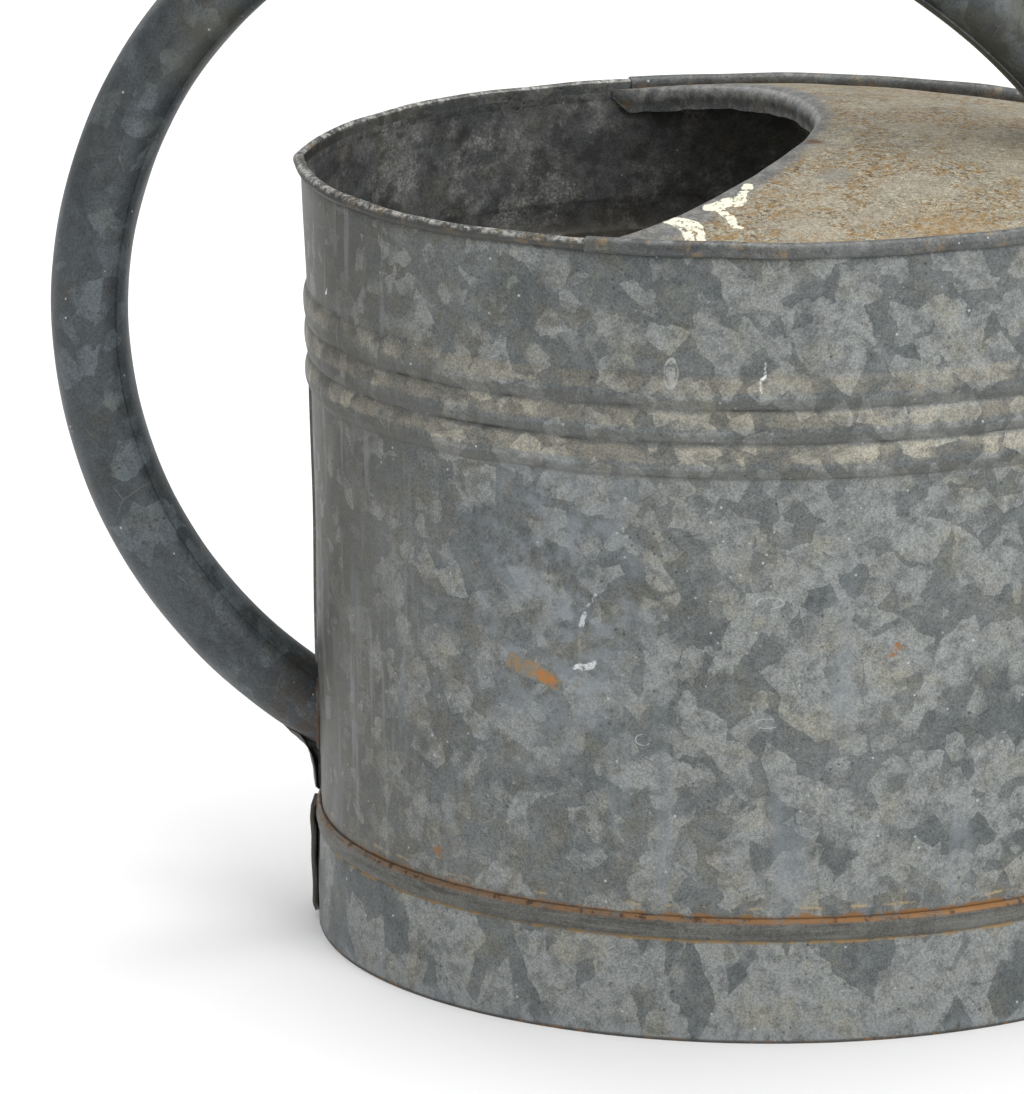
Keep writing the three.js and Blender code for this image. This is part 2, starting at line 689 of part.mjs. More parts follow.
function roseFace() {
  const foldInner = ROSE_RADIUS + GAP;
  const foldOuter = foldInner + SHEET;
  const shares = [0, 0.35, 0.7, 1];
  const dome = (radius, start) =>
    shares.map((share) => [radius * share, start + ROSE_BULGE * (1 - share ** 2)]);
  const inside = dome(ROSE_RADIUS - SHEET, coneEnd + GAP);
  const outside = dome(foldOuter - SHEET, coneEnd + GAP + SHEET).reverse();
  const face = turned([
    ...inside,
    [foldInner, coneEnd + GAP],
    [foldInner, coneEnd - 2 * ROSE_FOLD_RADIUS],
    [foldOuter, coneEnd - 2 * ROSE_FOLD_RADIUS],
    [foldOuter, coneEnd + GAP],
    ...outside,
  ]);
  return ROSE_RINGS.reduce((solid, ring) => solid.subtract(roseHoles(ring)), solidOf(face));
}

// One ring of holes through the face, as one cutting tool.
function roseHoles(ring) {
  const count = Math.max(1, ROSE_RING_STEP * ring);
  const radius = (ring * ROSE_RADIUS) / (ROSE_RINGS.length + 0.5);
  const holes = Array.from({ length: count }, (_, i) => {
    const angle = (i / count) * 2 * Math.PI;
    const hole = new THREE.CylinderGeometry(ROSE_HOLE, ROSE_HOLE, 4 * ROSE_BULGE, 6);
    return solidOf(
      hole.translate(radius * Math.cos(angle), coneEnd, radius * Math.sin(angle)),
    );
  });
  return holes.reduce((all, hole) => all.add(hole));
}

// ---- Assembly --------------------------------------------------------------

const can = new THREE.Group();
can.add(
  meshOf("body_wall", bodyWall(), zincBody),
  meshOf("rim_wire", rimWire(), zincBody),
  meshOf("foot_band", footBand(), zincFoot),
  meshOf("floor_plate", floorPlate(), zincFoot),
  meshOf("half_cover", halfCover(), zincCover),
  meshOf("handle_tube", handleTube(), zincHandle),
  meshOf("handle_heel_tab", handleHeelTab(), zincHandle),
  meshOf("handle_toe_plate", handleToePlate(), zincHandle),
  meshOf("spout_tube", spoutTube(), zincSpout),
  meshOf("spout_collar", spoutCollar(), zincSpout),
  meshOf("brace_bar", braceBar(), zincSpout),
  meshOf("brace_clip", braceClip(), zincSpout),
  rivetMesh("brace_foot_rivet", footRivet, zincSpout),
  rivetMesh("brace_clip_rivet", clipRivet, zincSpout),
);

const spoutAxis = new THREE.Group();
spoutAxis.position.copy(spoutStart);
spoutAxis.quaternion.copy(spoutTurn);
spoutAxis.add(
  meshOf("spout_ferrule", solidOf(spoutFerrule()), wornBrass),
  meshOf("rose_sleeve", solidOf(roseSleeve()), wornBrass),
  meshOf("rose_cone", solidOf(roseCone()), zincSpout),
  meshOf("rose_face", roseFace(), wornBrass),
);
can.add(spoutAxis);

// The origin is the middle of the bounding box, on the ground.
const box = new THREE.Box3().setFromObject(can, true);
const middle = box.getCenter(new THREE.Vector3());
can.position.set(-middle.x, -middle.y, -box.min.z);

const wateringCan = new THREE.Group();
wateringCan.add(can);

export default wateringCan;
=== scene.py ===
"""Looks of an old galvanised oval watering can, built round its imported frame. Metres throughout."""

import json
import math

import bmesh
import bpy
import numpy as np
from bpy.props import FloatProperty, FloatVectorProperty, IntProperty, PointerProperty
from mathutils import Matrix, Vector


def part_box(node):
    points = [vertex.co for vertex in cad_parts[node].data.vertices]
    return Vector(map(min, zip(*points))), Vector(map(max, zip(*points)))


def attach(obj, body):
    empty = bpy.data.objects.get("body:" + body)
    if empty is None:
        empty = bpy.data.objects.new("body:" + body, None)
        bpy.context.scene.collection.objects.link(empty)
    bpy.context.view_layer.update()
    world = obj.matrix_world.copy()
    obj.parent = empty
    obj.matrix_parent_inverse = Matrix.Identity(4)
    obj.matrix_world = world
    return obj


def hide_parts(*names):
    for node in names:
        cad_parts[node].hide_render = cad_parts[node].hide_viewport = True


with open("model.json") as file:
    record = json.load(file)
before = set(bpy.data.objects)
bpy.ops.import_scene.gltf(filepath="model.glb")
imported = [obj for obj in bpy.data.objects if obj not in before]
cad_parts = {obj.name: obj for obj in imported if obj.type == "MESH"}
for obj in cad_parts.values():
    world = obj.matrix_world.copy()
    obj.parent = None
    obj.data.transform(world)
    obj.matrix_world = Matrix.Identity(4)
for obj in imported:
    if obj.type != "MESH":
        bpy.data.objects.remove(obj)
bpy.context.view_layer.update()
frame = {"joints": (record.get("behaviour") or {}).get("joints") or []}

bl_info = {
    "name": "Watering can",
    "version": (1, 0, 0),
    "blender": (4, 5, 0),
    "location": "View3D > Sidebar > Can",
    "description": "Builds a galvanised oval watering can piece by piece round its frame",
    "category": "Object",
}

MM = 0.001
MOUTH_BACK = -58 * MM  # where the mouth's edge meets the rim, from the oval's middle
MOUTH_FRONT = 20.35 * MM
MOUTH_BEND, MOUTH_SQUARE = 1.66, 1.63  # how full and how square the mouth's edge is
FOLD_BACK = -51 * MM  # the fold over the rim starts here
HANDLE_SEAM = 3.83  # where the tube's lap lies, in radians round the tube from its outer side
HANDLE_SHEET = 1.2 * MM  # thickness of the handle's tube and of the plate under its front end
GAP = 0.3 * MM  # left between pieces that touch
BAR, BAR_WIDTH = 2 * MM, 16 * MM  # the brace's thickness and width
CLIP_WIDTH = 14 * MM
FLANGE = 3 * MM  # the ferrule's flange past the spout's tip
NOZZLE_LENGTH = 26 * MM
SLEEVE_WALL = 1 * MM
SLEEVE_LENGTH = 30 * MM
CONE_LENGTH = 58 * MM
FACE_BULGE, FACE_FOLD = 7 * MM, 4 * MM  # height of the rose's dome, and its edge folded over the cone
ROUND = 384  # steps round the oval
CAN = "can"  # the body of the frame that everything but the rose rides on
ROSE = "rose"

wall_low, wall_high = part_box("body_wall")
foot_low, foot_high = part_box("foot_band")
floor_low, floor_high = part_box("floor_plate")
plate_low, plate_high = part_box("handle_toe_plate")
tab_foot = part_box("handle_heel_tab")[0].z
spout_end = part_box("spout_tube")[1]
brace_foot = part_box("brace_bar")[0].z
spout_way = Vector(frame["joints"][0]["axis"]).normalized()
middle_x = (wall_low.x + wall_high.x) / 2


def length(name, description, default):
    """A size in metres that the sidebar can change."""
    return FloatProperty(
        name=name, description=description, default=default, min=0, precision=4,
        unit="LENGTH", subtype="DISTANCE",
    )


def colour(name, description, default):
    """A base colour that the sidebar can change."""
    return FloatVectorProperty(
        name=name, description=description, default=default, size=3, min=0, max=1, subtype="COLOR",
    )


class CanSizes(bpy.types.PropertyGroup):
    """Sizes of the can's pieces."""

    sheet: length("Sheet", "Thickness of every sheet", 0.8 * MM)
    half_length: length("Half length", "Middle of the oval to the outside of its ends", 157.8 * MM)
    base_half_width: length("Half width at the ground", "Middle to the outside of the long side", 119.8 * MM)
    top_half_width: length("Half width at the rim", "Middle to the outside of the long side", 115.8 * MM)
    bead_pitch: length("Bead pitch", "Distance between the swaged beads", 12.2 * MM)
    bead_drop: length("Bead drop", "Rim to the middle of the top bead", 51.4 * MM)
    bead_depth: length("Bead depth", "How far the beads stand out", 1.9 * MM)
    roll_radius: length("Rim roll", "Radius of the rolled rim", 2.1 * MM)
    roll_shift: length("Roll shift", "Middle of the rim's roll, out of the wall", 0.5 * MM)
    pinch: length("Pinch", "How far the back of the rim is drawn to a point", 2.7 * MM)
    foot_height: length("Foot", "Height of the plain foot band", 37.4 * MM)
    foot_bead: length("Foot bead", "How far the bead on the foot band stands out", 1.3 * MM)
    cover_drop: length("Cover drop", "Edge of the cover below the rim", 4 * MM)
    cover_rise: length("Cover rise", "Height of the cover's dome", 18.4 * MM)
    lip_depth: length("Lip", "Edge turned down round the mouth", 9.2 * MM)
    lip_bend: length("Lip bend", "Radius of the bend round the mouth", 5 * MM)
    handle_radius: length("Handle", "Radius of the handle's tube", 13.65 * MM)
    handle_top: length("Handle top", "Middle of the handle's tube above the rim", 108.9 * MM)
    handle_out: length("Handle reach", "Middle of the handle's tube behind the wall", 79.8 * MM)
    heel_rise: length("Heel", "Foot band to the middle of the handle's lower end", 32.7 * MM)
    toe_inset: length("Toe", "Middle of the handle's front end behind the front wall", 31.8 * MM)
    spout_base: length("Spout base", "Radius of the spout at the wall", 29 * MM)
    spout_tip: length("Spout tip", "Radius of the spout at its end", 14 * MM)
    nozzle: length("Nozzle", "Radius of the brass nozzle", 12 * MM)
    rose_radius: length("Rose", "Radius of the rose's face", 47 * MM)
    rose_hole: length("Rose hole", "Radius of each hole in the rose's face", 0.95 * MM)
    rose_ring_gap: length("Rose rings", "Distance between the rings of holes", 6.3 * MM)
    rose_rings: IntProperty(
        name="Rings", description="Rings of holes in the rose's face", default=6, min=1, max=12,
    )
    rivet_head: length("Rivet head", "Radius of a rivet's head", 4 * MM)


class CanColours(bpy.types.PropertyGroup):
    """Colours of the can's finishes."""

    zinc_dark: colour("Dark zinc", "Weathered ground of the zinc", (0.090, 0.101, 0.103))
    zinc_mid: colour("Zinc", "Middle tone of the zinc", (0.136, 0.148, 0.147))
    zinc_light: colour("Light spangle", "Pale crystals of the zinc", (0.235, 0.248, 0.240))
    patina: colour("Patina", "Bluish white bloom", (0.235, 0.262, 0.290))
    slate: colour("Slate zinc", "Dark zinc of the handle", (0.040, 0.047, 0.051))
    earth: colour("Earth", "Warm dust on the cover", (0.27, 0.235, 0.18))
    rust: colour("Rust", "Orange rust", (0.26, 0.120, 0.034))
    ochre: colour("Ochre", "Old rust stain", (0.27, 0.175, 0.07))
    cream: colour("Cream paint", "Splashes of old paint", (0.80, 0.77, 0.60))
    brass: colour("Brass", "Worn brass of the ferrule and the rose", (0.30, 0.205, 0.085))
    floor: colour("Floor", "Pale floor of the stage", (0.92, 0.92, 0.92))


# ---- Places on the can ------------------------------------------------------------------------


class Shape:
    """The can's surfaces, worked out from its sizes and from the frame."""

    def __init__(self, sizes):
        self.s = sizes
        self.height = wall_high.z
        self.wall_foot = wall_low.z
        self.seam_top = foot_high.z
        self.beads = [self.height - sizes.bead_drop - k * sizes.bead_pitch for k in range(3)]
        self.roll_z = self.height - sizes.roll_radius
        self.handle_shape()
        self.spout_shape()

    def half_width(self, z):
        """Middle of the oval to the outside of its long sides, at a height."""
        share = np.asarray(z) / self.height
        return self.s.base_half_width + (self.s.top_half_width - self.s.base_half_width) * share

    def on_wall(self, angle, out, z):
        """Points at an angle round the oval, moved out of the wall, at a height."""
        angle, out, z = np.broadcast_arrays(angle, out, z)
        from_back = np.abs((angle % (2 * np.pi)) - np.pi)
        beak = np.exp(-np.sqrt(from_back**2 + 0.0001) / 0.12)
        drawn = self.s.pinch * beak * smooth(0.205, self.height, z)
        dent = ripple(angle, z / (60 * MM), 1.7) * smooth(0.05, 0.09, z) * (1 - 0.7 * smooth(0.25, 0.28, z))
        out = out + 0.35 * MM * dent
        x = middle_x + (self.s.half_length + out) * np.cos(angle) - drawn
        y = (self.half_width(z) + out) * np.sin(angle)
        return np.stack([x, y, z], -1)

    def wall_x(self, y, z, out=0.0):
        """Distance of the wall from the oval's middle, along X."""
        share = np.clip(np.abs(y) / (self.half_width(z) + out), 0, 0.999)
        return (self.s.half_length + out) * np.sqrt(1 - share**2)

    def oval_share(self, x, y):
        """0 at the middle of the rim's oval, 1 on the oval; for numbers and for sockets."""
        return ((x - middle_x) / self.s.half_length) ** 2 + (y / self.s.top_half_width) ** 2

    def cover_top(self, x, y):
        """Height of the cover's dome over a place."""
        return self.height - self.s.cover_drop + self.s.cover_rise * (1 - self.oval_share(x, y))

    def handle_shape(self):
        """The handle's middle line: a round arc down to the wall behind, a flatter one in front."""
        s = self.s
        heel = self.seam_top + s.heel_rise
        top = self.height + s.handle_top
        climb = top - heel
        self.rear = s.handle_out + climb - math.sqrt(2 * s.handle_out * climb)
        self.turn_x = middle_x + self.rear - s.handle_out - s.half_length
        self.handle_z = top
        toe_x = middle_x + s.half_length - s.toe_inset
        fall = top - float(self.cover_top(toe_x, 0.0))
        run = toe_x - self.turn_x
        self.front = (run**2 + fall**2) / (2 * fall)
        self.toe_x = toe_x

    def handle_point(self, along, radius, around):
        """A point of the handle: along it from its top, out of its middle line and around it.
        The back half is the negative one."""
        along, radius, around = np.broadcast_arrays(along, radius, around)
        bend = np.where(along < 0, self.rear, self.front)
        angle = along / bend
        reach = bend + radius * np.cos(around)
        x = self.turn_x + reach * np.sin(angle)
        z = self.handle_z - bend + reach * np.cos(angle)
        return np.stack([x, radius * np.sin(around), z], -1)

    def handle_ends(self, radius, around, raised=0.0):
        """Where each line along the handle meets the wall and the cover."""
        reach = self.rear + radius * np.cos(around)
        y = radius * np.sin(around)
        z = np.full_like(y, self.seam_top + self.s.heel_rise)
        for _ in range(6):
            back = np.arcsin(np.clip((self.turn_x - middle_x + self.wall_x(y, z)) / reach, -1, 1))
            z = self.handle_z - self.rear - reach * np.cos(back)
        heel = -self.rear * (np.pi - back)
        reach = self.front + radius * np.cos(around)
        x = np.full_like(y, self.toe_x)
        for _ in range(12):
            level = self.cover_top(x, y) + raised
            forward = np.arccos(np.clip((level - self.handle_z + self.front) / reach, -1, 1))
            x = self.turn_x + reach * np.sin(forward)
        return heel, self.front * forward

    def spout_shape(self):
        """The spout's axis, length and taper."""
        s = self.s
        self.way = np.array(spout_way)
        self.up = np.array([-self.way[2], 0, self.way[0]])
        self.side = np.array([0.0, 1.0, 0.0])
        tip = np.array([spout_end.x - s.spout_tip * self.way[2], 0, spout_end.z - s.spout_tip * self.way[0]])
        start_x = middle_x + s.half_length
        self.spout_length = (tip[0] - start_x) / self.way[0]
        self.spout_start = tip - self.way * self.spout_length
        self.taper = (s.spout_base - s.spout_tip) / self.spout_length

    def spout_radius(self, along):
        """Outer radius of the spout at a distance along it."""
        return self.s.spout_base - self.taper * along

    def round_spout(self, along, radius, around):
        """Points round the spout's axis; around starts over it."""
        along, radius, around = np.broadcast_arrays(along, radius, around)
        across = np.cos(around)[..., None] * self.up + np.sin(around)[..., None] * self.side
        return self.spout_start + along[..., None] * self.way + radius[..., None] * across

    def spout_on_wall(self, wider, around, out=0.0):
        """How far along the spout each line round it, wider by a distance, meets the wall."""
        low = np.full(np.shape(around), -70 * MM)
        high = np.full(np.shape(around), 120 * MM)
        for _ in range(40):
            mid = (low + high) / 2
            point = self.round_spout(mid, self.spout_radius(mid) + wider, around)
            outside = point[..., 0] - middle_x > self.wall_x(point[..., 1], point[..., 2], out)
            high = np.where(outside, mid, high)
            low = np.where(outside, low, mid)
        return (low + high) / 2


def smooth(low, high, value):
    """0 below low, 1 above high, and a smooth step between."""
    share = np.clip((np.asarray(value, float) - low) / (high - low), 0, 1)
    return share * share * (3 - 2 * share)


def full_turn(steps):
    """Even angles once round a circle."""
    return np.arange(steps) * 2 * np.pi / steps


def unit(vectors):
    """Rows of vectors, each made one unit long."""
    return vectors / np.linalg.norm(vectors, axis=-1, keepdims=True)


def ripple(a, b, seed):
    """Smooth unevenness from about -1 to 1 over two running values."""
    waves = np.sin(3 * a + 2.1 * b + seed) + 0.7 * np.sin(7 * a - 3.3 * b + 2 * seed)
    return (waves + 0.5 * np.sin(13 * a + 5.7 * b + 3 * seed)) / 2.2


def arc(centre, radius, start, end, steps):
    """Points of an arc in a section, from one angle to another, in degrees."""
    angles = np.radians(np.linspace(start, end, steps + 1))
    return [(centre[0] + radius * math.cos(a), centre[1] + radius * math.sin(a)) for a in angles]


# ---- Meshes -------------------------------------------------------------------------------------


def sweep(points, closed, finish=0):
    """A closed section carried along a path: points[path, section]. Open ends are capped.
    finish is a material index, or one for each place in the section."""
    rows, cols = points.shape[:2]
    i = np.arange(rows if closed else rows - 1)[:, None]
    j = np.arange(cols)[None, :]
    here, there = i * cols, ((i + 1) % rows) * cols
    after = (j + 1) % cols
    faces = np.stack(np.broadcast_arrays(here + j, here + after, there + after, there + j), -1).reshape(-1, 4)
    index = np.broadcast_to(np.asarray(finish), (len(i), cols)).reshape(-1)
    if not closed:
        k = np.arange(cols // 2 - 1)
        first = np.stack([k + 1, k, cols - 1 - k, cols - 2 - k], -1)
        last = np.stack([k, k + 1, cols - 2 - k, cols - 1 - k], -1) + (rows - 1) * cols
        faces = np.concatenate([faces, first, last])
        index = np.concatenate([index, np.full(2 * len(k), index[0])])
    verts = points.reshape(-1, 3)
    a, b, c, d = (verts[faces[:, n]] for n in range(4))
    volume = np.einsum("ij,ij->", a, np.cross(b, c)) + np.einsum("ij,ij->", a, np.cross(c, d))
    return verts, faces if volume > 0 else faces[:, ::-1], index


def shaded_smooth(mesh, sharp):
    """The mesh shaded smooth, but for edges past an angle in degrees."""
    mesh.shade_smooth()
    mesh.set_sharp_from_angle(angle=math.radians(sharp))
    return mesh


def plain_mesh(name, shells, materials, sharp=38):
    """One mesh of several shells, smooth, with sharp edges past an angle in degrees."""
    verts, faces, index, start = [], [], [], 0
    for shell_verts, shell_faces, shell_index in shells:
        verts.append(shell_verts)
        faces.append(shell_faces + start)
        index.append(shell_index)
        start += len(shell_verts)
    mesh = bpy.data.meshes.new(name)
    mesh.from_pydata(np.concatenate(verts).tolist(), [], np.concatenate(faces).tolist())
    for material in materials:
        mesh.materials.append(material)
    mesh.polygons.foreach_set("material_index", np.concatenate(index).astype(np.int32))
    joined = bmesh.new()
    joined.from_mesh(mesh)
    bmesh.ops.remove_doubles(joined, verts=joined.verts, dist=1e-6)
    bmesh.ops.dissolve_degenerate(joined, edges=joined.edges, dist=1e-7)
    loose = [edge for edge in joined.edges if edge.is_wire]
    bmesh.ops.delete(joined, geom=loose, context="EDGES")
    joined.to_mesh(mesh)
    joined.free()
    return shaded_smooth(mesh, sharp)


def place_piece(name, mesh, body, nodes=()):
    """A finished mesh as a piece of the object that rides on a body of the frame."""
    piece = bpy.data.objects.new(name, mesh)
    bpy.context.scene.collection.objects.link(piece)
    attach(piece, body)
    if nodes:
        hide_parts(*nodes)
    return piece


def evaluated_mesh(mesh, add_modifier):
    """The mesh that a modifier makes of a mesh; the modifier goes with its helper object."""
    helper = bpy.data.objects.new("helper", mesh)
    bpy.context.scene.collection.objects.link(helper)
    add_modifier(helper)
    bpy.context.view_layer.update()
    graph = bpy.context.evaluated_depsgraph_get()
    made = bpy.data.meshes.new_from_object(helper.evaluated_get(graph))
    bpy.data.objects.remove(helper)
    return made


def cord_along(path, radius, lean=(0.0, 0.31, 0.95), sides=10):
    """A round bead of solder along a closed path of points. radius may differ at each point.
    lean is a direction that the path never takes."""
    way = unit(np.roll(path, -1, 0) - np.roll(path, 1, 0))
    first = unit(np.cross(way, np.array(lean)))
    second = np.cross(way, first)
    around = full_turn(sides)
    radius = np.broadcast_to(radius, len(path))[:, None, None]
    ring = np.cos(around)[None, :, None] * first[:, None] + np.sin(around)[None, :, None] * second[:, None]
    return sweep(path[:, None] + radius * ring, closed=True)


def strip_along(path, width, thickness):
    """A flat bar with rounded edges along a path of (x, z) points, its width along Y."""
    way = unit(np.gradient(path, axis=0))
    over = np.stack([-way[:, 1], way[:, 0]], -1)
    round_edge = 0.35 * thickness
    half, high = width / 2, thickness / 2
    corners = [(half, high), (-half, high), (-half, -high), (half, -high)]
    section = []
    for k, (y, h) in enumerate(corners):
        middle = (y - math.copysign(round_edge, y), h - math.copysign(round_edge, h))
        section += arc(middle, round_edge, 90 * k, 90 * k + 90, 3)
    y = np.array([p[0] for p in section])
    h = np.array([p[1] for p in section])
    x = path[:, None, 0] + h[None] * over[:, None, 0]
    z = path[:, None, 1] + h[None] * over[:, None, 1]
    return sweep(np.stack([x, np.broadcast_to(y, x.shape), z], -1), closed=False)


def rounded_path(corners, bend, step):
    """(x, z) corners joined by straight lines and rounded bends, as close points."""
    corners = [np.array(c, float) for c in corners]
    points = [corners[0]]
    for before, corner, after in zip(corners, corners[1:], corners[2:]):
        into, away = before - corner, after - corner
        reach = min(bend, 0.45 * np.linalg.norm(into), 0.45 * np.linalg.norm(away))
        start = corner + into / np.linalg.norm(into) * reach
        end = corner + away / np.linalg.norm(away) * reach
        for t in np.linspace(0, 1, 9):
            points.append((1 - t) ** 2 * start + 2 * t * (1 - t) * corner + t * t * end)
    points.append(corners[-1])
    dense = [points[0]]
    for before, after in zip(points, points[1:]):
        steps = max(1, round(float(np.linalg.norm(after - before)) / step))
        dense += [before + (after - before) * k / steps for k in range(1, steps + 1)]
    return np.array(dense)


def turned(shape, section, steps=96):
    """A closed section of (radius, along) pairs turned round the spout's axis."""
    radius, along = np.array(section).T
    around = full_turn(steps)[:, None]
    return sweep(shape.round_spout(along[None], radius[None], around), closed=True)


# ---- Materials ----------------------------------------------------------------------------------


def add_node(tree, kind, settings, values, output=0):
    """Adds a node: its settings first, then its sockets' values or links. Gives one of its outputs."""
    made = tree.nodes.new(kind)
    for key, value in settings.items():
        setattr(made, key, value)
    for key, value in values.items():
        value = getattr(value, "socket", value)
        if isinstance(value, bpy.types.NodeSocket):
            tree.links.new(value, made.inputs[key])
        else:
            made.inputs[key].default_value = value
    return made.outputs[output]


class Value:
    """An output socket; arithmetic on it adds Math nodes."""

    def __init__(self, paint, socket):
        self.paint, self.socket = paint, socket

    def maths(self, operation, *values):
        return self.paint.node("ShaderNodeMath", {"operation": operation}, dict(enumerate(values)))

    def __add__(self, other):
        return self.maths("ADD", self, other)

    def __sub__(self, other):
        return self.maths("SUBTRACT", self, other)

    def __rsub__(self, other):
        return self.maths("SUBTRACT", other, self)

    def __mul__(self, other):
        return self.maths("MULTIPLY", self, other)

    def __truediv__(self, other):
        return self.maths("DIVIDE", self, other)

    def __rtruediv__(self, other):
        return self.maths("DIVIDE", other, self)

    def __pow__(self, other):
        return self.maths("POWER", self, other)

    def __rpow__(self, other):
        return self.maths("POWER", other, self)

    __radd__, __rmul__ = __add__, __mul__

    def size(self):
        return self.maths("ABSOLUTE", self)

    def most(self, other):
        return self.maths("MAXIMUM", self, other)

    def step(self, low, high):
        """0 at low, 1 at high, smooth between; low may be above high."""
        settings = {"interpolation_type": "SMOOTHSTEP"}
        if low < high:
            return self.paint.node("ShaderNodeMapRange", settings, {0: self, 1: low, 2: high, 3: 0.0, 4: 1.0})
        return self.paint.node("ShaderNodeMapRange", settings, {0: self, 1: high, 2: low, 3: 1.0, 4: 0.0})


class Paint:
    """Builds one material's nodes. Patterns read Object coordinates, in metres."""

    def __init__(self, name):
        self.material = bpy.data.materials.new(name)
        self.material.use_nodes = True
        self.tree = self.material.node_tree
        self.tree.nodes.clear()
        self.place = self.node("ShaderNodeTexCoord", {}, {}, "Object")
        self.x, self.y, self.z = (
            self.node("ShaderNodeSeparateXYZ", {}, {0: self.place}, axis) for axis in ("X", "Y", "Z")
        )

    def node(self, kind, settings, values, output=0):
        return Value(self, add_node(self.tree, kind, settings, values, output))

    def vector(self, operation, first, second):
        """A Vector Math node's vector."""
        return self.node("ShaderNodeVectorMath", {"operation": operation}, {0: first, 1: second})

    def distance(self, first, second):
        """How far apart two places are."""
        return self.node("ShaderNodeVectorMath", {"operation": "DISTANCE"}, {0: first, 1: second}, 1)

    def stretch(self, place, scale, shift=(0, 0, 0)):
        """A place scaled along each axis, then moved."""
        return self.vector("ADD", self.vector("MULTIPLY", place, scale), shift)

    def noise(self, size, detail=4, roughness=0.55, place=None, output=0, shift=0.0):
        """Cloudy noise from 0 to 1 whose lumps are about one size across."""
        place = self.stretch(place or self.place, (1 / size,) * 3, (shift, 2 * shift, -shift))
        values = {"Vector": place, "Scale": 1.0, "Detail": detail, "Roughness": roughness}
        return self.node("ShaderNodeTexNoise", {}, values, output)

    def cells(self, size, place, output="Color", feature="F1"):
        """Voronoi cells about one size across: a random value for each, or a distance in cells."""
        values = {"Vector": self.stretch(place, (1 / size,) * 3), "Scale": 1.0, "Randomness": 1.0}
        found = self.node("ShaderNodeTexVoronoi", {"feature": feature}, values, output)
        if output != "Color":
            return found
        return [self.node("ShaderNodeSeparateColor", {}, {0: found}, channel) for channel in (0, 1)]

    def warped(self, amount, size, detail=3):
        """The place moved about by noise, so that edges run unevenly."""
        cloud = self.noise(size, detail, output=1)
        moved = self.vector("MULTIPLY", self.vector("SUBTRACT", cloud, (0.5,) * 3), (2 * amount,) * 3)
        return self.vector("ADD", self.place, moved)

    def mix(self, first, second, factor, blend="MIX"):
        """Two colours mixed by a factor."""
        settings = {"data_type": "RGBA", "blend_type": blend}
        first, second = (v if isinstance(v, Value) else (*v, 1.0) for v in (first, second))
        return self.node("ShaderNodeMix", settings, {0: factor, 6: first, 7: second}, 2)

    def lay(self, laid, mask):
        """Lays a colour over the finish's tone, as strongly as the mask says."""
        self.tone = self.mix(self.tone, laid, mask)

    def shaded(self, base, value):
        """A colour multiplied by a number or by another colour."""
        if isinstance(value, Value):
            value = self.node("ShaderNodeCombineColor", {}, {0: value, 1: value, 2: value})
        return self.mix(base, value, 1.0, "MULTIPLY")

    def spot(self, middle, radius, edge=0.5, place=None):
        """1 inside a ball, fading to 0 at its radius."""
        return self.distance(place or self.place, middle).step(radius, radius * edge)

    def stroke(self, start, end, width, place=None, edge=0.7):
        """1 along a line between two points, fading to 0 at its half width."""
        start, end = Vector(start), Vector(end)
        run = end - start
        from_start = self.vector("SUBTRACT", place or self.place, tuple(start))
        scaled = {0: from_start, 1: tuple(run / run.length_squared)}
        along = self.node("ShaderNodeVectorMath", {"operation": "DOT_PRODUCT"}, scaled, 1)
        along = along.maths("MAXIMUM", along.maths("MINIMUM", along, 1.0), 0.0)
        spine = self.node("ShaderNodeVectorMath", {"operation": "SCALE"}, {0: tuple(run), 3: along})
        return self.distance(from_start, spine).step(width, width * edge)

    def finish(self, metallic=0.35, depth=0.35 * MM, strength=0.6):
        """The shader at the end: a worn metal whose height becomes a bump."""
        heights = {"Strength": strength, "Distance": depth, "Height": self.height}
        bump = self.node("ShaderNodeBump", {}, heights)
        values = {
            "Base Color": self.tone, "Roughness": self.roughness, "Metallic": metallic, "Normal": bump,
        }
        shader = self.node("ShaderNodeBsdfPrincipled", {}, values)
        output = self.tree.nodes.new("ShaderNodeOutputMaterial")
        self.tree.links.new(shader.socket, output.inputs["Surface"])
        return self.material


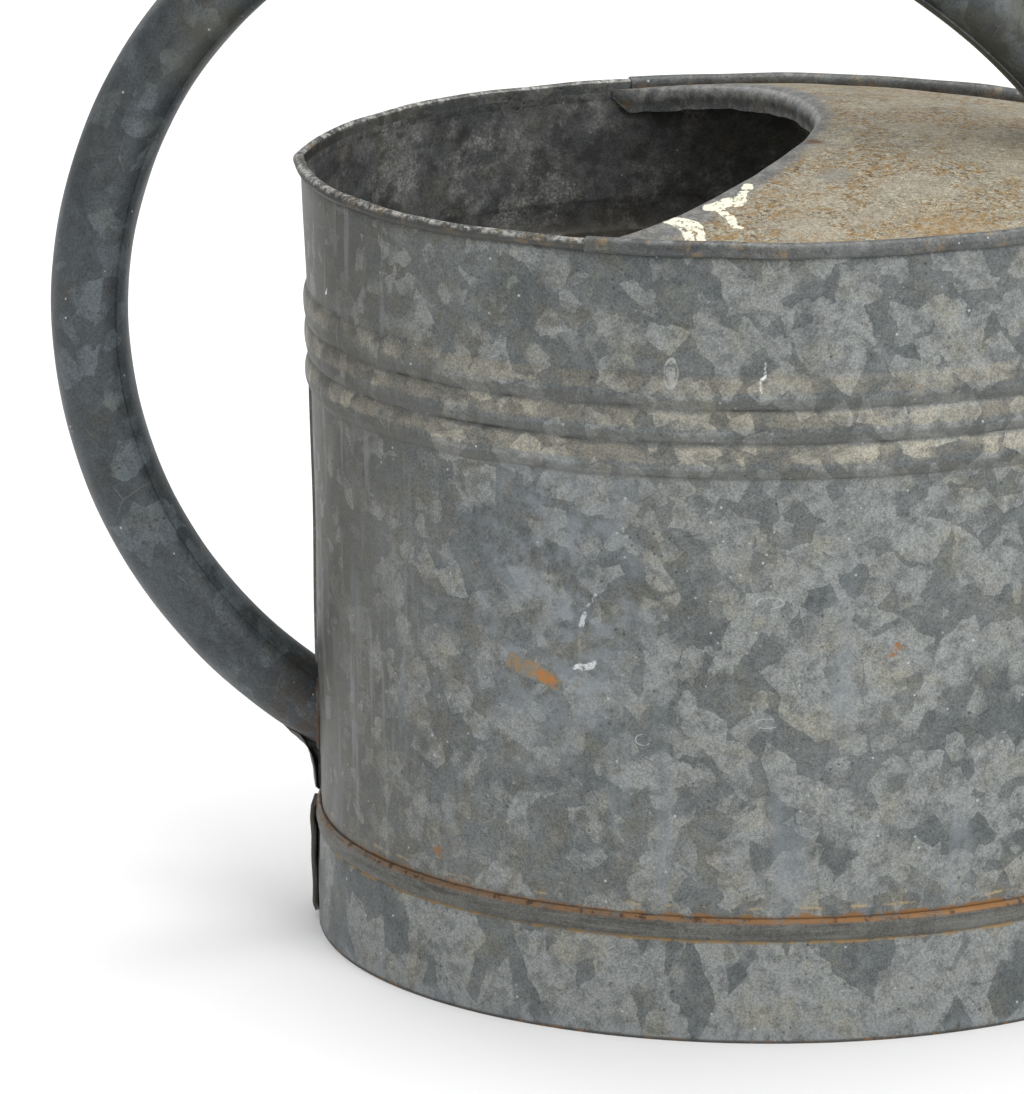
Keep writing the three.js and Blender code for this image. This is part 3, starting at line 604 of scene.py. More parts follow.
def spangle(paint, colours, size, share, tall=1.0, dark=None, mid=None, light=None, contrast=1.0, bias=0.0):
    """Weathered zinc: crystals with straight edges, mottling, pits, specks and hairline scratches.
    Sets the paint's tone, roughness and height, and its clouds, mottle, patches and grit."""
    dark = dark or tuple(colours.zinc_dark)
    mid = mid or tuple(colours.zinc_mid)
    light = light or tuple(colours.zinc_light)
    drawn = paint.stretch(paint.warped(1.5 * MM, 6 * MM, 4), (1, 1, 1 / tall))
    big, big_tone = paint.cells(size, drawn)
    small, small_tone = paint.cells(size * 0.52, drawn)
    clouds = paint.clouds = paint.noise(38 * MM, 3, shift=3.1)
    mottle = paint.mottle = paint.noise(5 * MM, 5, 0.65, shift=7.7)
    grain = paint.noise(0.9 * MM, 3, 0.7, shift=1.3)
    fine = paint.noise(0.42 * MM, 2, 0.7, shift=2.9)
    gate = 1.18 - share
    patch = (big * 0.72 + clouds * 0.62 + bias).step(gate - 0.05, gate + 0.05)
    chips = (small * 0.72 + clouds * 0.62 + bias).step(gate - 0.05, gate + 0.05)
    faint = (small_tone * 0.6 + big_tone * 0.4).step(0.25, 0.8)
    ground = paint.mix(dark, mid, (clouds * 0.7 + mottle * 0.3).step(0.36, 0.62))
    paint.tone = paint.mix(ground, mid, faint * 0.45)
    cover = paint.patches = patch.most(chips * 0.8) * (mottle.step(0.36, 0.58) * 0.5 + 0.42) * contrast
    paint.lay(light, cover)
    warm = paint.noise(17 * MM, 5, 0.65, shift=52.0).step(0.5, 0.66)
    paint.lay(paint.shaded(paint.tone, (1.12, 1.02, 0.82)), warm * 0.6)
    dust = mottle.step(0.3, 0.7) * 0.24 + grain.step(0.36, 0.64) * 0.42 + fine.step(0.36, 0.64) * 0.38
    paint.grit = dust + 0.47
    paint.tone = paint.shaded(paint.tone, paint.grit)
    pit, pit_lot = paint.cells(2.6 * MM, paint.place, "Distance"), paint.cells(2.6 * MM, paint.place)[0]
    pits = pit.step(0.3, 0.1) * pit_lot.step(0.70, 0.74) * paint.noise(22 * MM, 3, shift=11.0).step(0.46, 0.6)
    paint.lay((0.035, 0.036, 0.036), pits * 0.75)
    speck, speck_lot = paint.cells(3.9 * MM, paint.place, "Distance"), paint.cells(3.9 * MM, paint.place)[1]
    specks = speck.step(0.15, 0.08) * speck_lot.step(0.80, 0.82) * mottle.step(0.42, 0.5)
    paint.lay((0.50, 0.53, 0.54), specks * 0.8)
    wild = paint.warped(16 * MM, 45 * MM, 2)
    hair = paint.cells(34 * MM, wild, "Distance", "DISTANCE_TO_EDGE").step(0.008, 0.002)
    broken = paint.noise(13 * MM, 2, shift=5.2).step(0.58, 0.66)
    paint.lay((0.035, 0.036, 0.035), hair * broken * 0.4)
    wild_two = paint.stretch(wild, (1.7, 1.1, 0.8), (5, 3, 1))
    hair_two = paint.cells(27 * MM, wild_two, "Distance", "DISTANCE_TO_EDGE")
    pale_hair = hair_two.step(0.009, 0.002) * paint.noise(14 * MM, 2, shift=8.2).step(0.58, 0.68)
    paint.lay((0.34, 0.35, 0.35), pale_hair * 0.2)
    paint.roughness = mottle * 0.22 + 0.40 + cover * 0.08
    paint.height = mottle * 0.5 + grain * 0.3 + big_tone * 0.12 - pits * 0.6 - hair * broken * 0.3


def wear_beads(paint, colours, shape, wavy):
    """The swaged beads: brown on their crests with a cream painted highlight on their upper faces, painted
    shade under them, rust towards the front.
    """
    # cream is a painted highlight on the upper faces of the beads, the faces turned to the light.
    cream = paint.shaded((0.37, 0.35, 0.285), paint.grit)
    brown = paint.shaded((0.150, 0.140, 0.112), paint.grit)
    for k, (bead, highlight_strength) in enumerate(zip(shape.beads, (0.35, 0.6, 0.8))):
        crest = (wavy - (bead + 2.6 * MM)).size().step(3.6 * MM, 2.0 * MM)
        patchy = paint.noise(11 * MM, 5, 0.65, shift=20.0 + 3 * k).step(0.40, 0.58)
        paint.lay(brown, crest * (patchy * 0.45 + 0.2))
        paint.lay(cream, crest * (patchy * 0.35 + paint.patches * 0.8) * highlight_strength)
        # Painted shade under each bead.
        under = (wavy - (bead - 4.4 * MM)).size().step(3.0 * MM, 1.2 * MM)
        paint.lay((0.075, 0.072, 0.060), under * 0.45)
        warm = paint.noise(20 * MM, 4, shift=31.0 + k).step(0.55, 0.7) * paint.x.step(-0.12, -0.05)
        near = (wavy - bead).size().step(4.5 * MM, 1 * MM)
        paint.lay(colours.ochre, near * warm * paint.mottle.step(0.42, 0.56) * 0.8)


def rust_seam(paint, colours, shape, wavy):
    """Rust that creeps up the wall from the foot band, and a thin tide line over it."""
    seam = shape.seam_top
    rust_noise = paint.noise(8 * MM, 5, 0.7, shift=14.0)
    rust_line = (paint.z - seam - (rust_noise - 0.46) * (6 * MM)).step(1.2 * MM, 0.1 * MM)
    stronger = paint.x.step(-0.30, -0.02) * 0.5 + 0.5
    paint.lay(colours.rust, rust_line * rust_noise.step(0.32, 0.55) * stronger * 0.92)
    halo = paint.z.step(seam + 13 * MM, seam) * rust_noise.step(0.45, 0.7) * stronger
    paint.lay(colours.ochre, halo * 0.3)
    thin = (wavy - (seam + 3.6 * MM)).size().step(0.7 * MM, 0.2 * MM) * rust_noise.step(0.5, 0.6)
    paint.lay((0.42, 0.33, 0.17), thin * stronger * 0.7)


def mark_wall(paint, colours, rough_place):
    """Single rust stains, splashes and dried drips on the wall, and one painted glint on the back end."""
    marks = (
        (colours.ochre, (-0.1925, -0.1030, 0.1325), (-0.1790, -0.1075, 0.1275), 3.4 * MM, 0.75),
        ((0.40, 0.15, 0.03), (-0.1830, -0.1061, 0.1290), (-0.1800, -0.1075, 0.1275), 2.3 * MM, 0.85),
        (colours.rust, (-0.0650, -0.1113, 0.1390), (-0.0600, -0.1113, 0.1418), 1.9 * MM, 0.9),
        (colours.rust, (-0.2225, -0.0870, 0.0560), (-0.2190, -0.0885, 0.0550), 1.8 * MM, 0.8),
        ((0.70, 0.72, 0.74), (-0.1640, -0.1115, 0.1600), (-0.1690, -0.1100, 0.1490), 1.1 * MM, 0.6),
        ((0.74, 0.76, 0.78), (-0.1650, -0.1110, 0.1350), (-0.1705, -0.1100, 0.1320), 1.3 * MM, 0.75),
        # painted glint: a small white mark high on the back end
        ((0.85, 0.86, 0.85), (-0.2610, -0.0420, 0.2495), (-0.2618, -0.0412, 0.2450), 0.9 * MM, 0.9),
        ((0.82, 0.82, 0.80), (-0.1056, -0.1163, 0.2440), (-0.1066, -0.1166, 0.2320), 0.7 * MM, 0.9),
        ((0.62, 0.62, 0.58), (-0.1371, -0.1152, 0.2425), (-0.1371, -0.1152, 0.2370), 2.4 * MM, 0.4),
    )
    for tint, start, end, width, strength in marks:
        broken = paint.noise(2.4 * MM, 5, 0.7, shift=width * 9000).step(0.38, 0.55)
        paint.lay(tint, paint.stroke(start, end, width, rough_place) * broken * strength)
    drip_rings = (
        ((-0.1475, -0.1156, 0.1090), 2.6, 2.0), ((-0.1371, -0.1152, 0.2392), 2.4, 5.4),
        ((-0.1039, -0.1174, 0.1597), 4.6, 1.9), ((-0.1050, -0.1174, 0.1165), 4.4, 1.7),
    )
    for middle, wide, high in drip_rings:
        squeeze = (2 / wide, 2 / wide, 2 / high)
        from_middle = paint.stretch(paint.place, squeeze, tuple(-m * q for m, q in zip(middle, squeeze)))
        away = paint.node("ShaderNodeVectorMath", {"operation": "LENGTH"}, {0: from_middle}, 1)
        ring = (away - 2 * MM).size().step(0.28 * MM, 0.08 * MM)
        paint.lay((0.38, 0.40, 0.40), ring * paint.mottle.step(0.42, 0.56) * 0.8)


def wear_rim(paint, colours, shape):
    """The rolled rim: painted shade under its roll, a pale crust on its crest that is partly a painted
    highlight, and a little ochre.
    """
    outer_side = shape.oval_share(paint.x, paint.y).step(0.985, 0.998) * 0.7 + 0.3
    under_roll = paint.z.step(shape.height - 6 * MM, shape.height - 3.6 * MM) * outer_side
    rim_noise = paint.noise(6 * MM, 5, 0.7, shift=40.0)
    # Painted shade under the roll, on its outer side.
    paint.lay((0.040, 0.040, 0.038), under_roll * 0.85)
    crust = paint.noise(2.6 * MM, 5, 0.75, shift=43.0).step(0.42, 0.60)
    crest = paint.z.step(shape.height - 2.0 * MM, shape.height - 0.6 * MM)
    # The pale crust on the crest is worn zinc and a painted highlight together.
    paint.lay((0.42, 0.415, 0.39), crest * rim_noise.step(0.40, 0.54) * crust * 0.9)
    paint.lay(colours.ochre, under_roll * paint.noise(7 * MM, 5, 0.7, shift=61.0).step(0.56, 0.64) * 0.3)


def body_finish(colours, shape):
    """The outside of the wall: spangle, bloom, painted highlight and shade on the beads, painted shade and
    highlight streaks towards the back, rust over the foot band.
    """
    paint = Paint("weathered_wall")
    to_right = paint.x.step(-0.26, 0.0) * 0.13 - 0.07
    spangle(paint, colours, 12.5 * MM, 0.37, contrast=1.15, bias=to_right)
    rough_place = paint.warped(3.2 * MM, 9 * MM, 4)
    far_back = paint.x.step(-0.205, -0.262)
    # Painted shade darkens the back end, where the wall turns away, and painted highlight streaks run up it.
    paint.lay((0.080, 0.077, 0.066), far_back * 0.6)
    highlight_streak = paint.noise(1.0, 3, place=paint.stretch(paint.place, (260, 260, 14)), shift=2.0)
    paint.lay((0.24, 0.25, 0.25), highlight_streak.step(0.56, 0.66) * far_back * 0.5)
    to_left = paint.x.step(-0.06, -0.24)
    # Mud patches all over, laid heavier towards the back as painted shade.
    muddy = paint.noise(9 * MM, 5, 0.7, shift=52.0).step(0.48, 0.62)
    mud_and_shade = paint.shaded((0.120, 0.114, 0.093), paint.grit)
    paint.lay(mud_and_shade, muddy * (to_left * 0.45 + 0.12))
    chip, chip_tone = paint.cells(5.5 * MM, paint.stretch(rough_place, (1, 1, 0.8)))
    chips = (chip * 0.8 + chip_tone * 0.2).step(0.70, 0.74)
    chips = chips * paint.noise(12 * MM, 4, 0.6, shift=57.0).step(0.46, 0.58)
    paint.lay(paint.shaded((0.225, 0.232, 0.22), paint.grit), chips * (to_left * 0.40 + 0.25))
    bloom_place = paint.stretch(paint.warped(12 * MM, 30 * MM, 3), (1, 1, 0.62))
    bloom = paint.spot((-0.180, -0.108, 0.155 * 0.62), 0.052, 0.25, bloom_place)
    cloudy = paint.noise(9 * MM, 6, 0.7, shift=4.4).step(0.42, 0.66)
    paint.lay(colours.patina, bloom * cloudy * 0.65)
    drips = paint.noise(1.0, 3, place=paint.stretch(paint.place, (75, 75, 9)), shift=9.0).step(0.60, 0.72)
    paint.lay(colours.patina, drips * paint.z.step(0.24, 0.12) * 0.35)
    wavy = paint.z + (paint.mottle - 0.5) * (3.6 * MM) + (paint.clouds - 0.5) * (3.5 * MM)
    wear_beads(paint, colours, shape, wavy)
    rust_seam(paint, colours, shape, wavy)
    mark_wall(paint, colours, rough_place)
    wear_rim(paint, colours, shape)
    return paint.finish()


def inside_finish(colours):
    """The inside of the wall and the floor: dark, mottled, with pale bloom."""
    paint = Paint("inside_zinc")
    tones = {"dark": (0.075, 0.080, 0.080), "mid": (0.13, 0.135, 0.134), "light": (0.19, 0.195, 0.19)}
    spangle(paint, colours, 12 * MM, 0.24, 1.0, **tones, contrast=0.3)
    bloom = paint.noise(17 * MM, 6, 0.75, shift=6.0).step(0.46, 0.66)
    crust = paint.noise(1.0 * MM, 5, 0.75, shift=16.0).step(0.42, 0.60)
    paint.lay((0.47, 0.465, 0.445), bloom * (crust * 0.8 + 0.2) * 0.8)
    shade = paint.noise(12 * MM, 5, 0.65, shift=26.0).step(0.5, 0.62)
    paint.lay((0.045, 0.045, 0.043), shade * 0.6)
    low = paint.z.step(0.238, 0.214) * paint.mottle.step(0.15, 0.5)
    paint.lay((0.40, 0.35, 0.27), low * 0.6)
    return paint.finish()


def foot_finish(colours, shape):
    """The foot band: tall pale crystals, a dark bead with rust along its edges."""
    paint = Paint("weathered_foot")
    spangle(paint, colours, 15 * MM, 0.45, 1.9, contrast=1.3)
    rust_noise = paint.noise(8 * MM, 5, 0.7, shift=14.0)
    foot = shape.s.foot_height
    seam = shape.seam_top
    middle = (foot + seam) / 2
    bead = (paint.z - middle).size().step(5.2 * MM, 3.6 * MM)
    along = paint.noise(9 * MM, 5, 0.7, place=paint.stretch(paint.place, (0.3, 0.3, 3.5)), shift=59.0)
    paint.lay(paint.shaded((0.085, 0.083, 0.074), paint.grit), bead * 0.8)
    paint.lay((0.19, 0.188, 0.172), bead * along.step(0.5, 0.64) * 0.5)
    paint.lay((0.040, 0.036, 0.028), bead * along.step(0.46, 0.36) * 0.6)
    stronger = paint.x.step(-0.30, -0.02) * 0.55 + 0.45
    top = (paint.z - seam + 0.4 * MM).size().step(1.5 * MM, 0.4 * MM)
    paint.lay(colours.rust, top * rust_noise.step(0.30, 0.52) * stronger * 0.9)
    burnt = paint.noise(4 * MM, 4, 0.7, shift=57.0).step(0.54, 0.62)
    paint.lay((0.045, 0.024, 0.012), top * burnt * 0.85)
    low = (paint.z - foot + 0.2 * MM + (rust_noise - 0.5) * (2 * MM)).size().step(1.1 * MM, 0.3 * MM)
    paint.lay(colours.ochre, low * rust_noise.step(0.40, 0.55) * 0.85)
    warm = paint.noise(24 * MM, 5, shift=17.0).step(0.56, 0.72) * paint.x.step(-0.10, 0.0)
    paint.lay(colours.ochre, warm * paint.z.step(0.040, 0.0) * 0.45)
    pale = paint.z.step(9 * MM, 1.5 * MM) * paint.mottle.step(0.35, 0.6)
    paint.lay(colours.patina, pale * 0.40)
    strip = paint.x.step(foot_low.x + 1.4 * MM, foot_low.x + 1.2 * MM)
    paint.lay((0.055, 0.050, 0.038), strip * 0.85)
    outline = paint.z.step(1.6 * MM, 0.6 * MM)
    paint.lay((0.045, 0.042, 0.036), outline * 0.85)
    paint.lay(colours.rust, outline * rust_noise.step(0.52, 0.62) * 0.6)
    return paint.finish()


def splash_cover(paint, colours):
    """Splashes of old paint and three single stains on the cover. Gives the splashes' mask."""
    rough_place = paint.warped(3.0 * MM, 8 * MM, 4)
    splashes = (
        ((-0.1255, -0.0850, 0.288), (-0.1165, -0.0800, 0.290), 3.2 * MM),
        ((-0.1170, -0.0830, 0.289), (-0.1140, -0.0700, 0.292), 2.3 * MM),
        ((-0.1220, -0.0870, 0.288), (-0.1150, -0.0990, 0.287), 1.7 * MM),
        ((-0.1390, -0.0930, 0.286), (-0.1300, -0.0985, 0.286), 3.3 * MM),
        ((-0.1350, -0.0960, 0.286), (-0.1295, -0.1090, 0.284), 2.0 * MM),
        ((-0.1300, -0.0960, 0.286), (-0.1265, -0.1070, 0.284), 1.6 * MM),
    )
    splash = None
    for start, end, width in splashes:
        drop = paint.stroke(start, end, width, rough_place, 0.85)
        splash = splash.most(drop) if splash else drop
    worn = paint.noise(1.8 * MM, 5, 0.7, shift=27.0).step(0.38, 0.5)
    paint.lay(colours.cream, splash * worn * 0.95)
    paint.lay((0.10, 0.05, 0.02), paint.spot((-0.0922, -0.0298, 0.2978), 4.2 * MM, 0.3, rough_place) * 0.9)
    paint.lay((0.19, 0.19, 0.18), paint.spot((-0.0843, -0.0591, 0.2939), 8 * MM, 0.4, rough_place) * 0.45)
    paint.lay(colours.ochre, paint.spot((-0.0446, -0.0938, 0.2838), 24 * MM, 0.1, rough_place) * 0.35)
    return splash


def cover_finish(colours, shape):
    """The cover's top: warm and dusty, with rust flecks along it, paint splashes and a rusty edge."""
    paint = Paint("weathered_cover")
    tones = {"dark": (0.185, 0.172, 0.138), "mid": (0.245, 0.228, 0.186), "light": (0.30, 0.282, 0.235)}
    spangle(paint, colours, 16 * MM, 0.30, 1.0, **tones, contrast=0.5)
    dusty = paint.noise(30 * MM, 5, 0.65, shift=2.5).step(0.36, 0.6)
    paint.lay(colours.earth, dusty * 0.6)
    along = paint.stretch(paint.place, (0.8, 1, 1))
    fleck = paint.noise(2.6 * MM, 5, 0.75, place=along, shift=12.0).step(0.48, 0.55)
    lots = paint.noise(26 * MM, 4, 0.6, shift=13.0).step(0.42, 0.56)
    paint.lay((0.215, 0.135, 0.048), fleck * (lots * 0.85 + 0.15) * 0.95)
    deep = paint.noise(1.4 * MM, 4, 0.7, place=along, shift=19.0).step(0.53, 0.60)
    paint.lay((0.085, 0.05, 0.022), deep * (lots * 0.7 + 0.3))
    pale = paint.noise(1.5 * MM, 4, 0.7, place=along, shift=21.0).step(0.52, 0.62)
    paint.lay((0.42, 0.40, 0.325), pale * 0.5)
    paint.tone = paint.shaded(paint.shaded(paint.tone, (0.98, 0.98, 0.94)), paint.grit * 0.6 + 0.4)
    across = shape.oval_share(paint.x, paint.y)
    rim_noise = paint.noise(9 * MM, 5, 0.7, shift=23.0)
    edge = (across + (rim_noise - 0.5) * 0.06).step(0.905, 0.94)
    paint.lay((0.25, 0.135, 0.045), edge * rim_noise.step(0.30, 0.44) * 0.8)
    near_edge = (across + (rim_noise - 0.5) * 0.4).step(0.72, 0.95)
    paint.lay(colours.ochre, near_edge * fleck * 0.6)
    squared = (paint.y / shape.s.top_half_width).size() ** MOUTH_BEND
    forward = ((paint.x - middle_x - MOUTH_BACK) / (MOUTH_FRONT - MOUTH_BACK)).most(0.0) ** MOUTH_SQUARE
    near_mouth = (squared + forward + (rim_noise - 0.5) * 0.22).step(1.19, 1.07)
    blue = paint.mix((0.10, 0.107, 0.112), (0.165, 0.168, 0.165), paint.mottle.step(0.4, 0.6))
    paint.lay(paint.shaded(blue, paint.grit), near_mouth * 0.85)
    splash = splash_cover(paint, colours)
    paint.roughness = paint.roughness + 0.1
    paint.height = paint.height + splash * 0.25
    return paint.finish()


def edge_finish(colours, shape):
    """The cover's turned lip and the fold over the rim: dark, worn pale on its top."""
    paint = Paint("fold_zinc")
    tones = {"dark": (0.056, 0.060, 0.062), "mid": (0.10, 0.105, 0.103), "light": (0.17, 0.175, 0.168)}
    spangle(paint, colours, 8 * MM, 0.28, 1.0, **tones, contrast=0.4)
    yellow = paint.noise(8 * MM, 5, 0.7, shift=33.0).step(0.56, 0.66)
    paint.lay(colours.ochre, yellow * 0.45)
    worn = paint.noise(5 * MM, 5, 0.7, shift=36.0).step(0.5, 0.64)
    across = shape.oval_share(paint.x, paint.y)
    lip = across.step(0.93, 0.87)
    pale = paint.mix((0.125, 0.132, 0.136), (0.24, 0.24, 0.225), paint.mottle.step(0.4, 0.62))
    paint.lay(paint.shaded(pale, paint.grit), lip * 0.75)
    paint.lay(colours.ochre, yellow * lip * 0.5)
    paint.lay((0.25, 0.25, 0.235), worn * paint.z.step(shape.height - 1 * MM, shape.height + 1 * MM) * 0.6)
    drop = paint.stroke((-0.1200, -0.1120, 0.2850), (-0.1200, -0.1150, 0.2800), 0.9 * MM)
    paint.lay(colours.cream, drop * 0.9)
    return paint.finish()


def handle_finish(colours):
    """The handle: dark slate zinc with a few pale crystals and dull scratches."""
    paint = Paint("weathered_handle")
    slate = np.array(colours.slate)
    tones = {"dark": tuple(slate), "mid": tuple(slate * 1.45), "light": tuple(slate * 2.5)}
    spangle(paint, colours, 12 * MM, 0.29, 1.25, **tones, contrast=1.0)
    olive = paint.noise(50 * MM, 3, shift=41.0).step(0.46, 0.6) * paint.z.step(0.26, 0.36)
    paint.lay((0.085, 0.08, 0.055), olive * 0.5)
    heel = paint.spot((-0.272, 0.0, 0.070), 0.040, 0.2)
    rust_noise = paint.noise(5 * MM, 5, 0.7, shift=44.0)
    paint.lay((0.06, 0.036, 0.02), heel * rust_noise.step(0.4, 0.6) * 0.75)
    paint.roughness = paint.roughness - 0.03
    return paint.finish()


def spout_finish(colours):
    """The spout, its collar, the brace and the rose's cone: spangle a little warmer than the wall's."""
    paint = Paint("weathered_spout")
    spangle(paint, colours, 13 * MM, 0.36)
    rust_noise = paint.noise(7 * MM, 5, 0.7, shift=47.0)
    foot = paint.x.step(0.085, 0.045) * rust_noise.step(0.48, 0.66)
    paint.lay(colours.ochre, foot * 0.5)
    dirt = paint.noise(28 * MM, 4, shift=49.0).step(0.5, 0.66)
    paint.lay((0.11, 0.10, 0.082), dirt * 0.4)
    return paint.finish()


def solder_finish():
    """Dull grey solder with rust creeping over it."""
    paint = Paint("solder")
    mottle = paint.noise(2.5 * MM, 5, 0.7)
    rust_noise = paint.noise(6 * MM, 5, 0.7, shift=4.0)
    paint.tone = paint.mix((0.055, 0.055, 0.05), (0.13, 0.13, 0.12), mottle.step(0.35, 0.65))
    paint.lay((0.075, 0.038, 0.018), rust_noise.step(0.42, 0.58) * 0.85)
    paint.roughness, paint.height = mottle * 0.3 + 0.45, mottle
    return paint.finish(depth=0.6 * MM)


def brass_finish(colours):
    """Worn brass: brown tarnish, green in places, bright where it rubs."""
    paint = Paint("tarnished_brass")
    clouds = paint.noise(14 * MM, 4, 0.6)
    mottle = paint.noise(3.2 * MM, 5, 0.7, shift=3.0)
    paint.tone = paint.mix(tuple(colours.brass), (0.17, 0.115, 0.055), clouds.step(0.42, 0.62))
    paint.lay((0.50, 0.37, 0.17), mottle.step(0.58, 0.72) * 0.4)
    green = paint.noise(9 * MM, 5, 0.7, shift=8.0).step(0.6, 0.7)
    paint.lay((0.16, 0.24, 0.17), green * 0.5)
    paint.roughness = clouds.step(0.4, 0.6) * 0.25 + 0.3
    paint.height = mottle * 0.6 + clouds * 0.4
    return paint.finish(metallic=0.85)


def material(name):
    """A finish that make_materials has made."""
    return bpy.data.materials[name]


def make_materials(context):
    """Makes every finish once, before the first piece."""
    if "weathered_wall" in bpy.data.materials:
        return
    colours, shape = context.scene.can_colours, Shape(context.scene.can_sizes)
    made = [
        body_finish(colours, shape), inside_finish(colours), foot_finish(colours, shape),
        cover_finish(colours, shape), edge_finish(colours, shape), handle_finish(colours),
        spout_finish(colours), solder_finish(), brass_finish(colours),
    ]
    for finish in made:
        finish.use_fake_user = True


# ---- Body ---------------------------------------------------------------------------------------


def round_angles():
    """Angles round the oval, with close ones at the edges of the back seam."""
    extra = np.pi + np.array([-1, 1])[:, None] * np.array([0.0375, 0.0400])[None]
    return np.sort(np.concatenate([full_turn(ROUND), extra.ravel()]))


def bead_out(shape, z, angle):
    """How far the swaged beads stand out at a height: three full rounds with sharp valleys."""
    s = shape.s
    out = np.zeros(np.broadcast(z, angle).shape)
    for k, bead in enumerate(shape.beads):
        middle = bead + 0.3 * MM * ripple(2 * angle, k, 4.0 + k) + 0.35 * MM * ripple(7 * angle, k, 1.0 + k)
        half = 0.5 * s.bead_pitch * (1 + 0.05 * ripple(3 * angle, k, 9.0 + k))
        lobe = np.sqrt(np.clip(1 - ((z - middle) / half) ** 2, 0, 1))
        uneven = 1 + 0.10 * ripple(5 * angle, k, 2.0 + k) + 0.10 * ripple(8 * angle, k, 5.0 + k)
        out = np.maximum(out, s.bead_depth * uneven * (0.8, 0.95, 1.0)[k] * lobe)
    return out


def wall_section(shape):
    """Heights up the outside of the wall, close together at the beads."""
    top, foot = shape.beads[0] + 7.5 * MM, shape.beads[2] - 7.5 * MM
    return np.concatenate([
        np.linspace(shape.wall_foot, foot, 26)[:-1],
        np.linspace(foot, top, 58),
        np.linspace(top, shape.roll_z - 3.4 * MM, 12)[1:],
    ])


def body_shell(shape):
    """The wall: up its outside, round the rim's roll and its hem, and down the inside."""
    s = shape.s
    angle = round_angles()[:, None]
    up = wall_section(shape)
    outside = np.stack([np.zeros_like(up), up], -1)
    roll = np.array(arc((s.roll_shift, shape.roll_z), s.roll_radius, -125, 140, 26))
    hem = np.array([(-1.15, 0.6), (-1.05, -2.4), (-1.0, -4.4), (-0.8, -5.4)]) * MM + (0, shape.roll_z)
    down = up[::-1]
    inside = np.stack([np.full_like(down, -s.sheet), down], -1)
    section = np.concatenate([outside, roll, hem, inside])
    out = np.broadcast_to(section[:, 0], (len(angle), len(section))).copy()
    z = np.broadcast_to(section[:, 1], out.shape).copy()
    plain = np.ones(len(section), bool)
    plain[len(up): len(up) + len(roll) + len(hem)] = False
    deep = np.where(np.arange(len(section)) < len(up), 1.0, 0.45)[plain]
    out[:, plain] += bead_out(shape, z[:, plain], angle) * deep
    back = np.abs(angle - np.pi) < 0.0385
    seam_rows = (np.arange(len(section)) < len(up)) & (section[:, 1] > shape.seam_top) & (
        section[:, 1] < shape.beads[2] - 6 * MM
    )
    out += 1.2 * MM * (back & seam_rows[None])
    rim_wave = 0.45 * MM * ripple(2 * angle, 0, 6.0) * smooth(shape.roll_z - 9 * MM, shape.roll_z - 3 * MM, z)
    index = (np.arange(len(section)) > len(up) + len(roll)).astype(int)
    return sweep(shape.on_wall(angle, out, z + rim_wave), True, index)


class CAN_OT_body(bpy.types.Operator):
    """Build the wall: swaged beads, rolled rim, back seam, and the hole for the spout"""

    bl_idname = "can.body"
    bl_label = "Body"

    def execute(self, context):
        make_materials(context)
        shape = Shape(context.scene.can_sizes)
        finishes = [material("weathered_wall"), material("inside_zinc")]
        wall = plain_mesh("body_shell", [body_shell(shape)], finishes)
        bore = [
            (0.2 * MM, -60 * MM), (shape.spout_radius(-60 * MM) - shape.s.sheet, -60 * MM),
            (shape.spout_radius(60 * MM) - shape.s.sheet, 60 * MM), (0.2 * MM, 60 * MM),
        ]
        cutter_mesh = plain_mesh("cutter", [turned(shape, bore)], [material("inside_zinc")])
        cutter = bpy.data.objects.new("cutter", cutter_mesh)
        context.scene.collection.objects.link(cutter)

        def cut(helper):
            hole = helper.modifiers.new("hole", "BOOLEAN")
            hole.operation, hole.object, hole.solver = "DIFFERENCE", cutter, "EXACT"

        made = evaluated_mesh(wall, cut)
        bpy.data.objects.remove(cutter)
        shaded_smooth(made, 38)
        place_piece("body_shell", made, CAN, ["body_wall", "rim_wire"])
        return {"FINISHED"}


# ---- Foot ---------------------------------------------------------------------------------------


def lap_shell():
    """The lap of the foot band's ends: a curled strip that stands off the back."""
    x = foot_low.x + 0.5 * MM
    path = [
        (x + 0.9 * MM, 3.5 * MM), (x, 6 * MM), (x + 0.3 * MM, 14 * MM), (x - 0.1 * MM, 24 * MM),
        (x + 0.2 * MM, 33 * MM), (x - 0.2 * MM, 39 * MM), (x + 0.3 * MM, 44 * MM),
    ]
    verts, faces, index = strip_along(rounded_path(path, 2 * MM, 1 * MM), 13 * MM, 1.7 * MM)
    verts[:, 1] -= 7 * MM
    return verts, faces, index


